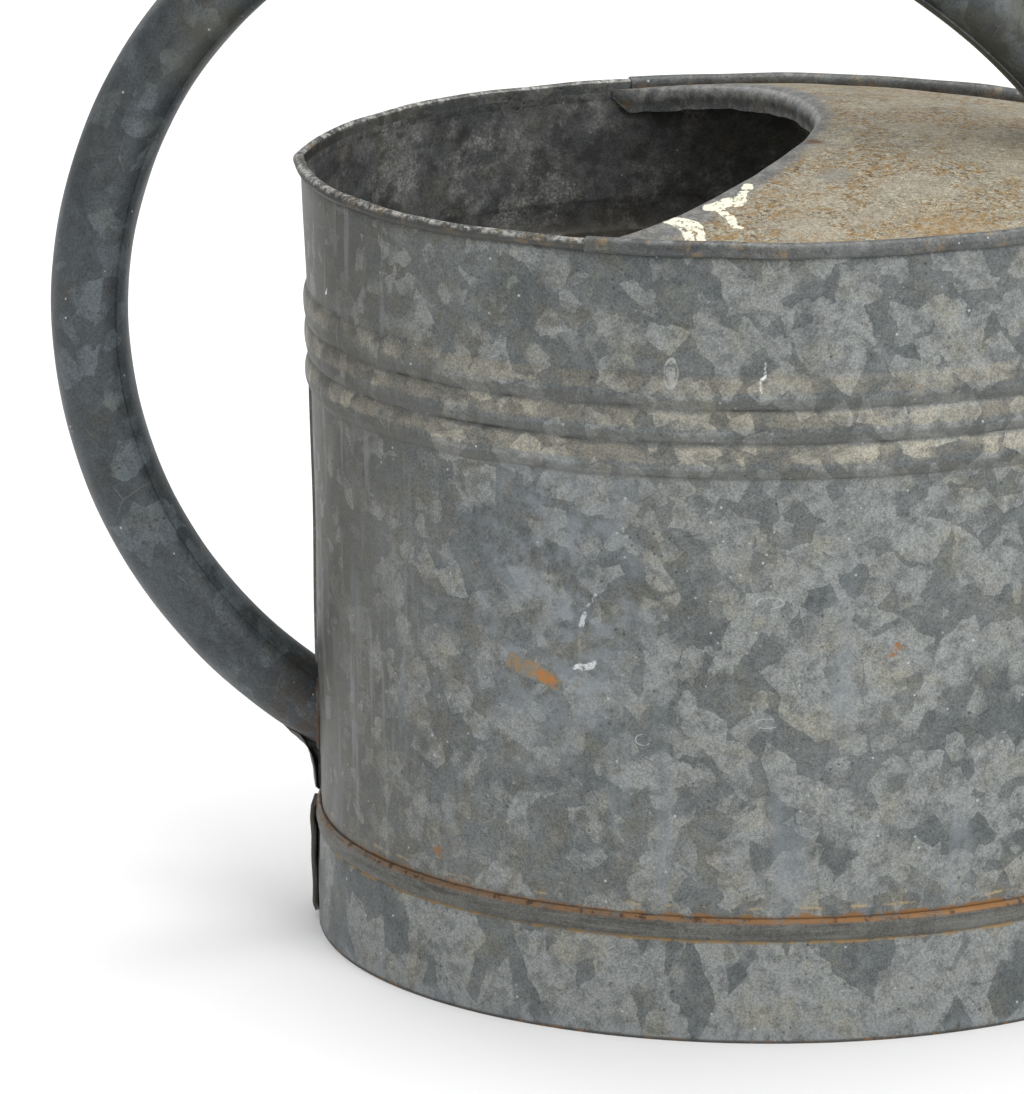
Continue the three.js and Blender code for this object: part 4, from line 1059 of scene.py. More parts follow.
def foot_shell(shape):
    """The foot band: it flares to the ground, with a half-round bead on its top edge."""
    s = shape.s
    angle = round_angles()[:, None]
    inner, flare = 0.3 * MM, 0.9 * MM
    outer = inner + s.sheet
    seam = shape.seam_top
    middle, half = (s.foot_height + seam) / 2, (seam - s.foot_height) / 2
    section = [(inner + flare, 0.2 * MM), (outer + flare - 0.2 * MM, 0.0), (outer + flare, 0.25 * MM)]
    for z in np.linspace(1.2 * MM, s.foot_height - 0.9 * MM, 26):
        section.append((outer + flare * (1 - z / s.foot_height), z))
    section.append((outer - 0.25 * MM, s.foot_height - 0.35 * MM))
    for turn in np.radians(np.linspace(-84, 84, 19)):
        bead = s.foot_bead * math.cos(turn)
        section.append((outer - 0.1 * MM + bead, middle + half * 0.96 * math.sin(turn)))
    section += [(outer - 0.15 * MM, seam), (inner, seam)]
    section += [(inner, z) for z in np.linspace(seam - 1 * MM, s.foot_height, 4)]
    lining = np.linspace(s.foot_height * 0.8, 1 * MM, 6)[:-1]
    section += [(inner + flare * (1 - z / s.foot_height), z) for z in lining]
    section = np.array(section)
    out = np.broadcast_to(section[:, 0], (len(angle), len(section))).copy()
    z = np.broadcast_to(section[:, 1], out.shape)
    outside = np.arange(len(section)) < 50
    rough = ripple(5 * angle, z / (20 * MM), 8.0) * 0.22 * MM
    rough = rough + ripple(11 * angle, z / (8 * MM), 3.0) * 0.12 * MM
    out += rough * outside * smooth(1 * MM, 6 * MM, z)
    lap = (angle > np.pi - 0.012) & (angle < np.pi + 0.085)
    low_part = (z > 3.0 * MM) & (z < s.foot_height - 0.6 * MM)
    out += 0.5 * MM * (lap & low_part & outside)
    return sweep(shape.on_wall(angle, out, z), True)


def floor_shell(shape):
    """The floor: a sheet that sags a little, with its edge turned down."""
    s = shape.s
    angle = full_turn(ROUND // 2)[:, None]
    shares = np.concatenate([np.linspace(0, 0.9, 11), [0.95, 1.0]])
    top, under = floor_high.z, floor_high.z - s.sheet
    share = np.concatenate([shares, [1.0, 1.0], [0.992, 0.985], shares[::-1][1:]])
    z = np.concatenate([
        np.full(len(shares), top), [top - 4 * MM, floor_low.z], [floor_low.z, under],
        np.full(len(shares) - 1, under),
    ])
    edge_x = (s.half_length - s.sheet / 2) * np.cos(angle)
    edge_y = (float(shape.half_width(top)) - s.sheet / 2) * np.sin(angle)
    sag = 0.5 * MM * np.sin(share * 9)[None] * (share[None] < 0.9) * np.ones_like(angle)
    x, y = middle_x + edge_x * share, edge_y * share
    return sweep(np.stack([x, y, np.broadcast_to(z, x.shape) - np.abs(sag)], -1), True)


class CAN_OT_foot(bpy.types.Operator):
    """Build the foot band with its bead and lap, and the floor inside it"""

    bl_idname = "can.foot"
    bl_label = "Foot"

    def execute(self, context):
        make_materials(context)
        shape = Shape(context.scene.can_sizes)
        shells, finishes = [foot_shell(shape), lap_shell()], [material("weathered_foot")]
        band = plain_mesh("foot_skirt", shells, finishes, sharp=32)
        place_piece("foot_skirt", band, CAN, ["foot_band"])
        pan = plain_mesh("floor_pan", [floor_shell(shape)], [material("inside_zinc")])
        place_piece("floor_pan", pan, CAN, ["floor_plate"])
        return {"FINISHED"}


# ---- Cover --------------------------------------------------------------------------------------

def cover_shell(shape):
    """The half cover: lip down round the mouth, bend, dome to the rim, and its underside."""
    s = shape.s
    inside = s.roll_shift - s.roll_radius - 0.7 * MM
    end = math.acos(MOUTH_BACK / s.half_length)
    turn = np.linspace(-0.992, 0.992, 281)
    rim_x = (s.half_length + inside) * np.cos(turn * end)
    rim_y = (s.top_half_width + inside) * np.sin(turn * end)
    share = np.sin(turn * np.pi / 2)
    reach = math.sqrt(1 - (MOUTH_BACK / s.half_length) ** 2)
    forward = (1 - np.abs(share) ** MOUTH_BEND) ** (1 / MOUTH_SQUARE)
    edge_x = MOUTH_BACK + (MOUTH_FRONT - MOUTH_BACK) * forward + 0.5 * MM * ripple(4 * turn, 0, 3.0)
    edge_y = share * (s.top_half_width + inside) * reach
    run = np.stack([rim_x - edge_x, rim_y - edge_y], -1)
    span = np.linalg.norm(run, axis=1)
    run /= span[:, None]
    bend = np.minimum(s.lip_bend, 0.4 * span)[:, None]
    shallow = 1 - 0.62 * smooth(0.90, 0.992, np.abs(turn))
    depth = (s.lip_depth + 0.5 * MM * ripple(6 * turn, 0, 7.0)) * shallow
    depth = np.maximum(depth, bend[:, 0] + 0.5 * MM)[:, None]
    drop = np.linspace(1, 0, 7)[None, :-1]
    angles = np.radians(np.linspace(180, 90, 10))[None]
    away = np.concatenate([
        np.zeros((len(turn), 6)) + 0.25 * MM * np.sin(drop * 3),
        bend + bend * np.cos(angles),
        bend + (span[:, None] - bend) * (np.linspace(0, 1, 34)[None, 1:] ** 1.15),
    ], 1)
    hang = np.concatenate([
        -bend - drop * (depth - bend), -bend + bend * np.sin(angles), np.zeros((len(turn), 33)),
    ], 1)
    x = middle_x + edge_x[:, None] + run[:, 0:1] * away
    y = edge_y[:, None] + run[:, 1:2] * away
    flat = np.maximum(away, bend)
    under_x = middle_x + edge_x[:, None] + run[:, 0:1] * flat
    top = shape.cover_top(under_x, edge_y[:, None] + run[:, 1:2] * flat)
    dents = 0.35 * MM * ripple(turn[:, None] * 5, away / (25 * MM), 2.0) * smooth(0, 30 * MM, away)
    z = top + hang + dents * smooth(0, 20 * MM, span[:, None] - away)
    along = np.gradient(away, axis=1)
    rise = np.gradient(z, axis=1)
    size = np.hypot(along, rise) + 1e-9
    back = s.sheet * rise / size
    under = -s.sheet * along / size
    inner = np.stack([x + run[:, 0:1] * back, y + run[:, 1:2] * back, z + under], -1)
    outer = np.stack([x, y, z], -1)
    points = np.concatenate([outer, inner[:, ::-1]], 1)
    index = np.zeros(points.shape[1], int)
    index[:12] = 1
    index[49:] = 2
    return sweep(points, False, index)


def fold_shell(shape):
    """The cover's edge wrapped over the rim's roll."""
    s = shape.s
    end = math.acos(FOLD_BACK / s.half_length)
    angle = np.linspace(-end, end, 300)[:, None]
    outer_radius, inner_radius = s.roll_radius + 0.75 * MM, s.roll_radius + 0.02 * MM
    centre = (s.roll_shift, shape.roll_z)
    foot = shape.height - s.cover_drop - 1.2 * MM
    section = [(s.roll_shift - outer_radius, foot)]
    section += arc(centre, outer_radius, 180, -52, 26)
    section += arc(centre, inner_radius, -56, 180, 24)
    section += [(s.roll_shift - inner_radius, foot)]
    section = np.array(section)
    wave = 0.45 * MM * ripple(2 * angle, 0, 6.0)
    out = section[None, :, 0] + 0.12 * MM * ripple(9 * angle, section[None, :, 1] / (4 * MM), 1.0) * (
        section[None, :, 0] > s.roll_shift
    )
    z = section[None, :, 1] + wave
    return sweep(shape.on_wall(angle, out, z), False, 1)


class CAN_OT_cover(bpy.types.Operator):
    """Build the half cover: dome, lip turned down round the mouth, fold over the rim"""

    bl_idname = "can.cover"
    bl_label = "Cover"

    def execute(self, context):
        make_materials(context)
        shape = Shape(context.scene.can_sizes)
        finishes = [material("weathered_cover"), material("fold_zinc"), material("inside_zinc")]
        mesh = plain_mesh("cover_sheet", [cover_shell(shape), fold_shell(shape)], finishes, sharp=50)
        place_piece("cover_sheet", mesh, CAN, ["half_cover"])
        return {"FINISHED"}


# ---- Handle -------------------------------------------------------------------------------------


def handle_radius(shape, around, along):
    """Radius of the tube, which grows to a lapped edge on its inner side."""
    turn = (around - HANDLE_SEAM) % (2 * np.pi)
    lap = 0.75 * MM * smooth(5.2, 2 * np.pi, turn)
    uneven = 0.16 * MM * ripple(around, along / (35 * MM), 5.0)
    inner_side = 0.3 * MM * (1 - np.cos(around))
    return shape.s.handle_radius - 0.25 * MM + lap + uneven + inner_side


def handle_shell(shape):
    """The tube as a closed sheet, cut to the wall and to the plate on the cover."""
    s = shape.s
    around = np.sort(np.concatenate([full_turn(72), [HANDLE_SEAM - 0.0005, HANDLE_SEAM + 0.0005]]))
    radius = np.full(len(around), s.handle_radius)
    heel, toe = shape.handle_ends(radius, around, GAP + HANDLE_SHEET)
    share = np.linspace(0, 1, 240)[:, None]
    along = heel[None] * (1 - share) + toe[None] * share
    radius = handle_radius(shape, around[None], along)
    outer = shape.handle_point(along, radius, around[None])
    inner = shape.handle_point(along, radius - HANDLE_SHEET, around[None])
    count = len(around)
    tube_verts = np.concatenate([outer.reshape(-1, 3), inner.reshape(-1, 3)])
    rows = len(share)
    i, j = np.arange(rows - 1)[:, None] * count, np.arange(count)[None]
    after = (j + 1) % count
    corners = np.broadcast_arrays(i + j, i + after, i + count + after, i + count + j)
    skin = np.stack(corners, -1).reshape(-1, 4)
    lining = skin[:, ::-1] + rows * count
    j = j.ravel()
    after = after.ravel()
    far = (rows - 1) * count
    start = np.stack([after, j, j + rows * count, after + rows * count], -1)
    end = np.stack([far + j, far + after, far + after + rows * count, far + j + rows * count], -1)
    faces = np.concatenate([skin, lining, start, end])
    a, b, c = (tube_verts[faces[:, n]] for n in range(3))
    if np.einsum("ij,ij->", a, np.cross(b, c)) < 0:
        faces = faces[:, ::-1]
    return tube_verts, faces, np.zeros(len(faces), int)


def handle_cords(shape):
    """The cords of solder round the handle's two ends."""
    s = shape.s
    fine = full_turn(120)
    radius = np.full(len(fine), s.handle_radius + 0.1 * MM)
    heel, toe = shape.handle_ends(radius, fine, GAP + HANDLE_SHEET)
    wobble = 1 + 0.3 * np.sin(5 * fine + 1) * np.sin(11 * fine)
    return [
        cord_along(shape.handle_point(heel + 0.3 * MM, s.handle_radius + 0.1 * MM, fine), 1.15 * MM * wobble),
        cord_along(shape.handle_point(toe - 0.2 * MM, s.handle_radius + 0.2 * MM, fine), 1.7 * MM * wobble),
    ]


def tongue_shell(shape):
    """The tube's lower end, flattened into a tongue that goes down the wall."""
    s = shape.s
    heel, _ = shape.handle_ends(np.array([s.handle_radius]), np.array([0.0]))
    root = shape.handle_point(heel, s.handle_radius + 0.3 * MM, np.array([0.0]))[0]
    low_z = tab_foot
    wall = middle_x - s.half_length
    path = [(wall - 0.9 * MM, low_z), (wall - 1.9 * MM, low_z + 2 * MM), (wall - 2.3 * MM, root[2] - 5 * MM)]
    for step, off in ((3.5, 0.9), (8, 0.5), (13, 0.1), (17, -0.8)):
        point = shape.handle_point(heel + step * MM, s.handle_radius + off * MM, np.array([0.0]))[0]
        path.append((point[0], point[2]))
    path = rounded_path(path, 6 * MM, 1.0 * MM)
    count = len(path)
    share = np.linspace(0, 1, count)[:, None]
    across = np.linspace(-1, 1, 25)[None]
    corner = np.sqrt(np.clip(1 - (1 - np.clip(share / 0.16, 0, 1)) ** 2, 0.02, 1))
    half = 8.5 * MM * (0.55 + 0.45 * corner) * (1 - 0.3 * smooth(0.7, 1, share))
    y = across * half
    on_tube = smooth(0.45, 0.8, share)
    sink = s.handle_radius - np.sqrt(np.clip(s.handle_radius**2 - y**2, 1e-9, None))
    wall_sink = s.half_length - shape.wall_x(y, path[:, 1][:, None])
    way = unit(np.gradient(path, axis=0))
    out = np.stack([-way[:, 1], way[:, 0]], -1)
    if out[0, 0] > 0:
        out = -out
    shift = on_tube * sink + (1 - on_tube) * wall_sink
    rough = 0.25 * MM * ripple(across * 2, share * 6, 1.0)
    thick = 0.8 * MM * (1 - 0.9 * smooth(0.6, 1, share)) * np.sqrt(np.clip(1 - across**4, 0.05, 1))

    def skin(lift):
        away = lift - shift + rough
        x = path[:, 0][:, None] + out[:, 0][:, None] * away
        z = path[:, 1][:, None] + out[:, 1][:, None] * away
        return np.stack(np.broadcast_arrays(x, y, z), -1)

    return sweep(np.concatenate([skin(thick), skin(-thick * 0.6)[:, ::-1]], 1), False)


def toe_plate_shell(shape):
    """The oval plate on the cover that the tube's front end is soldered to."""
    middle = (plate_low + plate_high) / 2
    around = full_turn(120)[:, None]
    hole = 0.55
    section = [
        (hole, 0.0), (hole, 1.0), (0.8, 1.0), (0.965, 1.0), (0.99, 0.8), (1.0, 0.4), (0.99, 0.0), (0.8, 0.0),
    ]
    share, lift = np.array(section).T
    rim = 1 + 0.012 * np.sin(5 * around) + 0.008 * np.sin(9 * around + 1)
    x = middle.x + (plate_high.x - plate_low.x) / 2 * share[None] * rim * np.cos(around)
    y = (plate_high.y - plate_low.y) / 2 * share[None] * rim * np.sin(around)
    z = shape.cover_top(x, y) + GAP + HANDLE_SHEET * lift[None]
    return sweep(np.stack([x, y, z], -1), True)


class CAN_OT_handle(bpy.types.Operator):
    """Build the tube handle with its lapped seam, tongue, toe plate and solder"""

    bl_idname = "can.handle"
    bl_label = "Handle"

    def execute(self, context):
        make_materials(context)
        shape = Shape(context.scene.can_sizes)
        shells = [handle_shell(shape), tongue_shell(shape)]
        mesh = plain_mesh("handle", shells, [material("weathered_handle")], sharp=35)
        place_piece("handle", mesh, CAN, ["handle_tube", "handle_heel_tab"])
        plate = plain_mesh("toe_plate", [toe_plate_shell(shape)], [material("weathered_handle")])
        place_piece("toe_plate", plate, CAN, ["handle_toe_plate"])
        solder = plain_mesh("handle_solder", handle_cords(shape), [material("solder")])
        place_piece("handle_solder", solder, CAN)
        return {"FINISHED"}


# ---- Spout --------------------------------------------------------------------------------------


def spout_shell(shape):
    """The tapered spout from the wall to its tip, with a lap under it."""
    s = shape.s
    around = full_turn(128)
    base = shape.spout_on_wall(0.0, around)
    share = np.linspace(0, 1, 90)[:, None]
    along = base[None] * (1 - share) + shape.spout_length * share
    lap = 0.7 * MM * smooth(5.4, 2 * np.pi, (around - np.pi) % (2 * np.pi))[None]
    uneven = 0.14 * MM * ripple(around[None], along / (45 * MM), 2.0)
    radius = shape.spout_radius(along) - 0.3 * MM + lap + uneven
    outer = shape.round_spout(along, radius, around[None])
    inner = shape.round_spout(along, radius - s.sheet, around[None])
    points = np.concatenate([outer, inner[::-1]], 0)
    return sweep(points.transpose(1, 0, 2), True)


def collar_shell(shape):
    """The flange that is soldered to the wall round the spout, with its raised neck."""
    around = full_turn(128)
    low = shape.seam_top + 0.6 * MM
    section = [
        (0.2, 6.0), (0.9, 6.2), (1.1, 3.2), (2.0, 1.7), (3.6, 1.15), (6.0, 1.0), (8.6, 0.9), (9.0, 0.5),
        (8.8, 0.15), (0.2, 0.15),
    ]
    rings = []
    for wider, out in section:
        along = shape.spout_on_wall(wider * MM, around, out * MM)
        point = shape.round_spout(along, shape.spout_radius(along) + wider * MM, around)
        point[:, 2] = np.where(point[:, 2] < low, low + (point[:, 2] - low) * 0.02, point[:, 2])
        point[:, 0] = middle_x + shape.wall_x(point[:, 1], point[:, 2], out * MM)
        rings.append(point)
    return sweep(np.stack(rings, 1), True)


class CAN_OT_spout(bpy.types.Operator):
    """Build the tapered spout with its lap, and the collar at the wall"""

    bl_idname = "can.spout"
    bl_label = "Spout"

    def execute(self, context):
        make_materials(context)
        shape = Shape(context.scene.can_sizes)
        zinc = [material("weathered_spout")]
        spout = plain_mesh("spout", [spout_shell(shape)], zinc, sharp=45)
        place_piece("spout", spout, CAN, ["spout_tube"])
        collar = plain_mesh("collar", [collar_shell(shape)], zinc, sharp=50)
        place_piece("collar", collar, CAN, ["spout_collar"])
        fine = full_turn(140)
        along = shape.spout_on_wall(0.6 * MM, fine, 6 * MM)
        path = shape.round_spout(along, shape.spout_radius(along) + 0.5 * MM, fine)
        path[:, 2] = np.maximum(path[:, 2], shape.seam_top + 1.5 * MM)
        bead = 1.0 * MM * (1 + 0.3 * np.sin(4 * fine) * np.sin(9 * fine + 1))
        cord = cord_along(path, bead, lean=(1, 0.05, 0.1))
        solder = plain_mesh("spout_solder", [cord], [material("solder")])
        place_piece("spout_solder", solder, CAN)
        return {"FINISHED"}


# ---- Brace --------------------------------------------------------------------------------------


def brace_places(shape):
    """The brace's middle line, and the two rivets' outer and inner faces."""
    s = shape.s
    clip_sheet = 1.2 * MM
    wall_front = middle_x + s.half_length
    foot_x = wall_front + GAP + BAR / 2
    knee_x = wall_front + s.roll_shift + s.roll_radius + GAP + s.sheet + GAP + BAR
    level = shape.height + 3 * MM
    out = GAP + clip_sheet + GAP + BAR / 2

    def over(along, rise):
        return shape.round_spout(np.array(along), shape.spout_radius(along) + rise, np.array(0.0))

    start = over(0.0, out)[2]
    landing = (level - start) / (over(1.0, out)[2] - start)
    first, last = over(landing, out), over(landing + 26 * MM, out)
    corners = [
        (foot_x, brace_foot), (foot_x, brace_foot + 16 * MM), (knee_x, brace_foot + 20 * MM),
        (knee_x, level - 4 * MM),
        (knee_x + 4 * MM, level), (first[0], first[2]), (last[0], last[2]),
    ]
    middle = landing + 13 * MM
    outer = over(middle, out + BAR / 2)
    inner = over(middle, -s.sheet - 0.2 * MM)
    rivets = [
        ((foot_x + BAR / 2, 0, brace_foot + 8 * MM), (1, 0, 0), 1.0),
        ((wall_front - s.sheet, 0, brace_foot + 8 * MM), (-1, 0, 0), 0.8),
        (tuple(outer), tuple(shape.up), 1.0),
        (tuple(inner), tuple(-shape.up), 0.8),
    ]
    return corners, middle, rivets


def new_tree(name, inputs):
    """A geometry node tree with named inputs. Gives the tree, its input sockets and their identifiers."""
    tree = bpy.data.node_groups.new(name, "GeometryNodeTree")
    tree.interface.new_socket("Geometry", in_out="OUTPUT", socket_type="NodeSocketGeometry")
    tree.interface.new_socket("Geometry", in_out="INPUT", socket_type="NodeSocketGeometry")
    ids = {}
    for label, kind in inputs.items():
        given = tree.interface.new_socket(label, in_out="INPUT", socket_type="NodeSocket" + kind)
        ids[label] = given.identifier
    source = tree.nodes.new("NodeGroupInput")
    return tree, {socket.name: socket for socket in source.outputs if socket.name}, ids


def end_tree(tree, geometry, finish):
    """Realize Instances and Set Material, the tree's last nodes."""
    real = add_node(tree, "GeometryNodeRealizeInstances", {}, {0: geometry})
    done = add_node(tree, "GeometryNodeSetMaterial", {}, {"Geometry": real, "Material": finish})
    sink = tree.nodes.new("NodeGroupOutput")
    tree.links.new(done, sink.inputs[0])


def rivet_tree():
    """A low dome at each point, turned to face the way that the point says."""
    inputs = {"Head radius": "Float", "Head height": "Float", "Finish": "Material"}
    tree, given, ids = new_tree("rivets", inputs)
    named = "GeometryNodeInputNamedAttribute"
    facing = add_node(tree, named, {"data_type": "FLOAT_VECTOR"}, {"Name": "facing"})
    size = add_node(tree, named, {"data_type": "FLOAT"}, {"Name": "size"})
    ball = add_node(tree, "GeometryNodeMeshUVSphere", {}, {"Segments": 28, "Rings": 14, "Radius": 1.0})
    scale = add_node(tree, "ShaderNodeCombineXYZ", {}, {
        0: given["Head radius"], 1: given["Head radius"], 2: given["Head height"],
    })
    dome = add_node(tree, "GeometryNodeTransform", {}, {"Geometry": ball, "Scale": scale})
    turn = add_node(tree, "FunctionNodeAlignRotationToVector", {"axis": "Z"}, {"Vector": facing})
    points = add_node(tree, "GeometryNodeMeshToPoints", {}, {"Mesh": given["Geometry"]})
    heads = add_node(tree, "GeometryNodeInstanceOnPoints", {}, {
        "Points": points, "Instance": dome, "Rotation": turn, "Scale": size,
    })
    end_tree(tree, heads, given["Finish"])
    return tree, ids


def clip_section(shape, middle):
    """The clip round the spout: a flat band with eased edges."""
    start, end, round_edge = middle - CLIP_WIDTH / 2, middle + CLIP_WIDTH / 2, 0.35 * MM
    inner, outer = 0.05 * MM, 1.5 * MM
    corners = (
        (inner, start), (outer - round_edge, start), (outer, start + round_edge),
        (outer, end - round_edge), (outer - round_edge, end), (inner, end),
    )
    return [(shape.spout_radius(along) + lift, along) for lift, along in corners]


def rivets_mesh(shape, rivets):
    """The heads of the rivets, each given as its place, the way that it faces and its size."""
    spots = bpy.data.meshes.new("rivets")
    spots.from_pydata([place for place, _, _ in rivets], [], [])
    facing = spots.attributes.new("facing", "FLOAT_VECTOR", "POINT")
    facing.data.foreach_set("vector", np.ravel([way for _, way, _ in rivets]).astype(np.float32))
    size = spots.attributes.new("size", "FLOAT", "POINT")
    size.data.foreach_set("value", np.array([share for _, _, share in rivets], np.float32))
    tree, ids = rivet_tree()

    def add_rivets(helper):
        nodes = helper.modifiers.new("rivets", "NODES")
        nodes.node_group = tree
        nodes[ids["Head radius"]] = shape.s.rivet_head
        nodes[ids["Head height"]] = shape.s.rivet_head / 2
        nodes[ids["Finish"]] = material("weathered_spout")

    made = evaluated_mesh(spots, add_rivets)
    made.shade_smooth()
    return made


class CAN_OT_brace(bpy.types.Operator):
    """Build the brace from the rim to the spout, its clip and its rivets"""

    bl_idname = "can.brace"
    bl_label = "Brace"

    def execute(self, context):
        make_materials(context)
        shape = Shape(context.scene.can_sizes)
        zinc = [material("weathered_spout")]
        corners, middle, rivets = brace_places(shape)
        bar = strip_along(rounded_path(corners, 5 * MM, 1.5 * MM), BAR_WIDTH, BAR)
        place_piece("brace", plain_mesh("brace", [bar], zinc), CAN, ["brace_bar"])
        clip = plain_mesh("clip", [turned(shape, clip_section(shape, middle))], zinc, sharp=30)
        place_piece("clip", clip, CAN, ["brace_clip"])
        nodes = ["brace_foot_rivet", "brace_clip_rivet"]
        place_piece("rivets", rivets_mesh(shape, rivets), CAN, nodes)
        return {"FINISHED"}


# ---- Ferrule and rose ---------------------------------------------------------------------------


def perforation_tree():
    """Rings of holes cut through a dome that lies round the Z axis; each ring has six more than the last."""
    inputs = {
        "Rings": "Int", "Ring gap": "Float", "Hole radius": "Float", "Depth": "Float", "Finish": "Material",
    }
    tree, given, ids = new_tree("perforations", inputs)

    def maths(operation, *values):
        return add_node(tree, "ShaderNodeMath", {"operation": operation}, dict(enumerate(values)))

    index = add_node(tree, "GeometryNodeInputIndex", {}, {})
    spread = maths("SQRT", maths("MAXIMUM", maths("SUBTRACT", maths("MULTIPLY", index, 12.0), 3.0), 0.0))
    found = maths("FLOOR", maths("DIVIDE", maths("ADD", spread, 3.0), 6.0))
    ring = maths("MULTIPLY", found, maths("GREATER_THAN", index, 0.5))
    before = maths("ADD", maths("MULTIPLY", maths("MULTIPLY", ring, maths("SUBTRACT", ring, 1.0)), 3.0), 1.0)
    in_ring = maths("MAXIMUM", maths("MULTIPLY", ring, 6.0), 1.0)
    turn = maths("MULTIPLY", maths("DIVIDE", maths("SUBTRACT", index, before), in_ring), 2 * math.pi)
    radius = maths("MULTIPLY", ring, given["Ring gap"])
    place = add_node(tree, "ShaderNodeCombineXYZ", {}, {
        0: maths("MULTIPLY", radius, maths("COSINE", turn)),
        1: maths("MULTIPLY", radius, maths("SINE", turn)),
    })
    rings = given["Rings"]
    count = maths("ADD", maths("MULTIPLY", maths("MULTIPLY", rings, maths("ADD", rings, 1.0)), 3.0), 1.0)
    points = add_node(tree, "GeometryNodePoints", {}, {"Count": count, "Position": place})
    punch = add_node(tree, "GeometryNodeMeshCylinder", {}, {
        "Vertices": 12, "Radius": given["Hole radius"], "Depth": given["Depth"],
    })
    punches = add_node(tree, "GeometryNodeInstanceOnPoints", {}, {"Points": points, "Instance": punch})
    solid = add_node(tree, "GeometryNodeRealizeInstances", {}, {0: punches})
    settings = {"operation": "DIFFERENCE", "solver": "EXACT"}
    cut = add_node(tree, "GeometryNodeMeshBoolean", settings, {0: given["Geometry"], 1: solid})
    end_tree(tree, cut, given["Finish"])
    return tree, ids


def face_section(radius, bulge, sheet, fold):
    """Half the section of the rose's face: a dome whose edge is folded back over the cone."""
    shares = np.linspace(0.004, 0.985, 20)
    top = [(radius * t, bulge * (1 - t**2) + sheet) for t in shares]
    outer = radius + sheet + 0.3 * MM
    edge = arc((outer - 1.0 * MM, 0.1 * MM), 1.0 * MM, 80, 0, 6)
    skirt = [(outer, -fold), (outer - 0.4 * MM, -fold - 0.3 * MM), (outer - sheet, -fold)]
    under = [(outer - sheet, -0.4 * MM)] + [(radius * t, bulge * (1 - t**2)) for t in shares[::-1]]
    return top + edge + skirt + under


def ferrule_section(shape):
    """The ferrule: a grip over the spout's end, a flange, and the nozzle that the rose slides on."""
    s = shape.s
    tip = shape.spout_length
    grip = shape.spout_radius(tip - 10 * MM) + 0.2 * MM
    wall = 1.4 * MM
    shoulder = tip + FLANGE
    nozzle_end = shoulder + NOZZLE_LENGTH
    return [
        (grip, tip - 10 * MM), (grip + wall - 0.4 * MM, tip - 10 * MM), (grip + wall, tip - 9.6 * MM),
        (grip + wall, tip - 8 * MM), (grip + wall - 0.5 * MM, tip - 7.4 * MM),
        (grip + wall - 0.5 * MM, tip - 1 * MM), (grip + wall, tip - 0.4 * MM), (16.6 * MM, tip),
        (17 * MM, tip + 0.5 * MM), (17 * MM, shoulder - 0.5 * MM),
        (16.6 * MM, shoulder), (s.nozzle + 0.3 * MM, shoulder), (s.nozzle, shoulder + 0.4 * MM),
        (s.nozzle, nozzle_end - 0.5 * MM), (s.nozzle - 0.5 * MM, nozzle_end),
        (s.nozzle - wall, nozzle_end), (s.nozzle - wall, tip + 0.3 * MM), (grip, tip + 0.3 * MM),
    ]


def sleeve_section(shape, start, end):
    """The rose's sleeve, with a rolled edge at its open end."""
    inner = shape.s.nozzle + GAP
    outer = inner + SLEEVE_WALL
    return [
        (inner, start), (outer + 0.5 * MM, start), (outer + 0.9 * MM, start + 0.8 * MM),
        (outer + 0.9 * MM, start + 1.8 * MM), (outer + 0.3 * MM, start + 2.6 * MM),
        (outer, start + 3 * MM), (outer, end), (inner, end),
    ]


def cone_section(shape, end):
    """The rose's cone, from its neck round the sleeve's end to its rim."""
    s = shape.s
    neck = s.nozzle + GAP + SLEEVE_WALL + 0.2 * MM
    cone_end = end + CONE_LENGTH
    cone = [(neck, end - 10 * MM), (neck + s.sheet, end - 10 * MM + 0.3 * MM)]
    cone += [(neck + s.sheet, z) for z in np.linspace(end - 8 * MM, end - 2 * MM, 3)]
    cone += [
        (neck + s.sheet + (s.rose_radius - neck - s.sheet) * t**1.04, end + CONE_LENGTH * t)
        for t in np.linspace(0.02, 1, 26)
    ]
    return cone + [(s.rose_radius - s.sheet, cone_end), (neck, end + s.sheet)]


def face_mesh(shape, cone_end):
    """The perforated face, laid on the end of the cone."""
    s = shape.s
    brass = [material("tarnished_brass")]
    section = np.array(face_section(s.rose_radius, FACE_BULGE, s.sheet, FACE_FOLD))
    around = full_turn(120)[:, None]
    x, y = section[None, :, 0] * np.cos(around), section[None, :, 0] * np.sin(around)
    dome = sweep(np.stack([x, y, np.broadcast_to(section[:, 1], x.shape)], -1), True)
    tree, ids = perforation_tree()

    def punch(helper):
        nodes = helper.modifiers.new("perforations", "NODES")
        nodes.node_group = tree
        nodes[ids["Rings"]] = s.rose_rings
        nodes[ids["Ring gap"]] = s.rose_ring_gap
        nodes[ids["Hole radius"]] = s.rose_hole
        nodes[ids["Depth"]] = 40 * MM
        nodes[ids["Finish"]] = material("tarnished_brass")

    face = evaluated_mesh(plain_mesh("face", [dome], brass, sharp=40), punch)
    centre = shape.spout_start + shape.way * (cone_end + GAP)
    turn = Matrix((shape.up, -shape.side, shape.way)).transposed().to_4x4()
    face.transform(Matrix.Translation(centre) @ turn)
    shaded_smooth(face, 40)
    return face


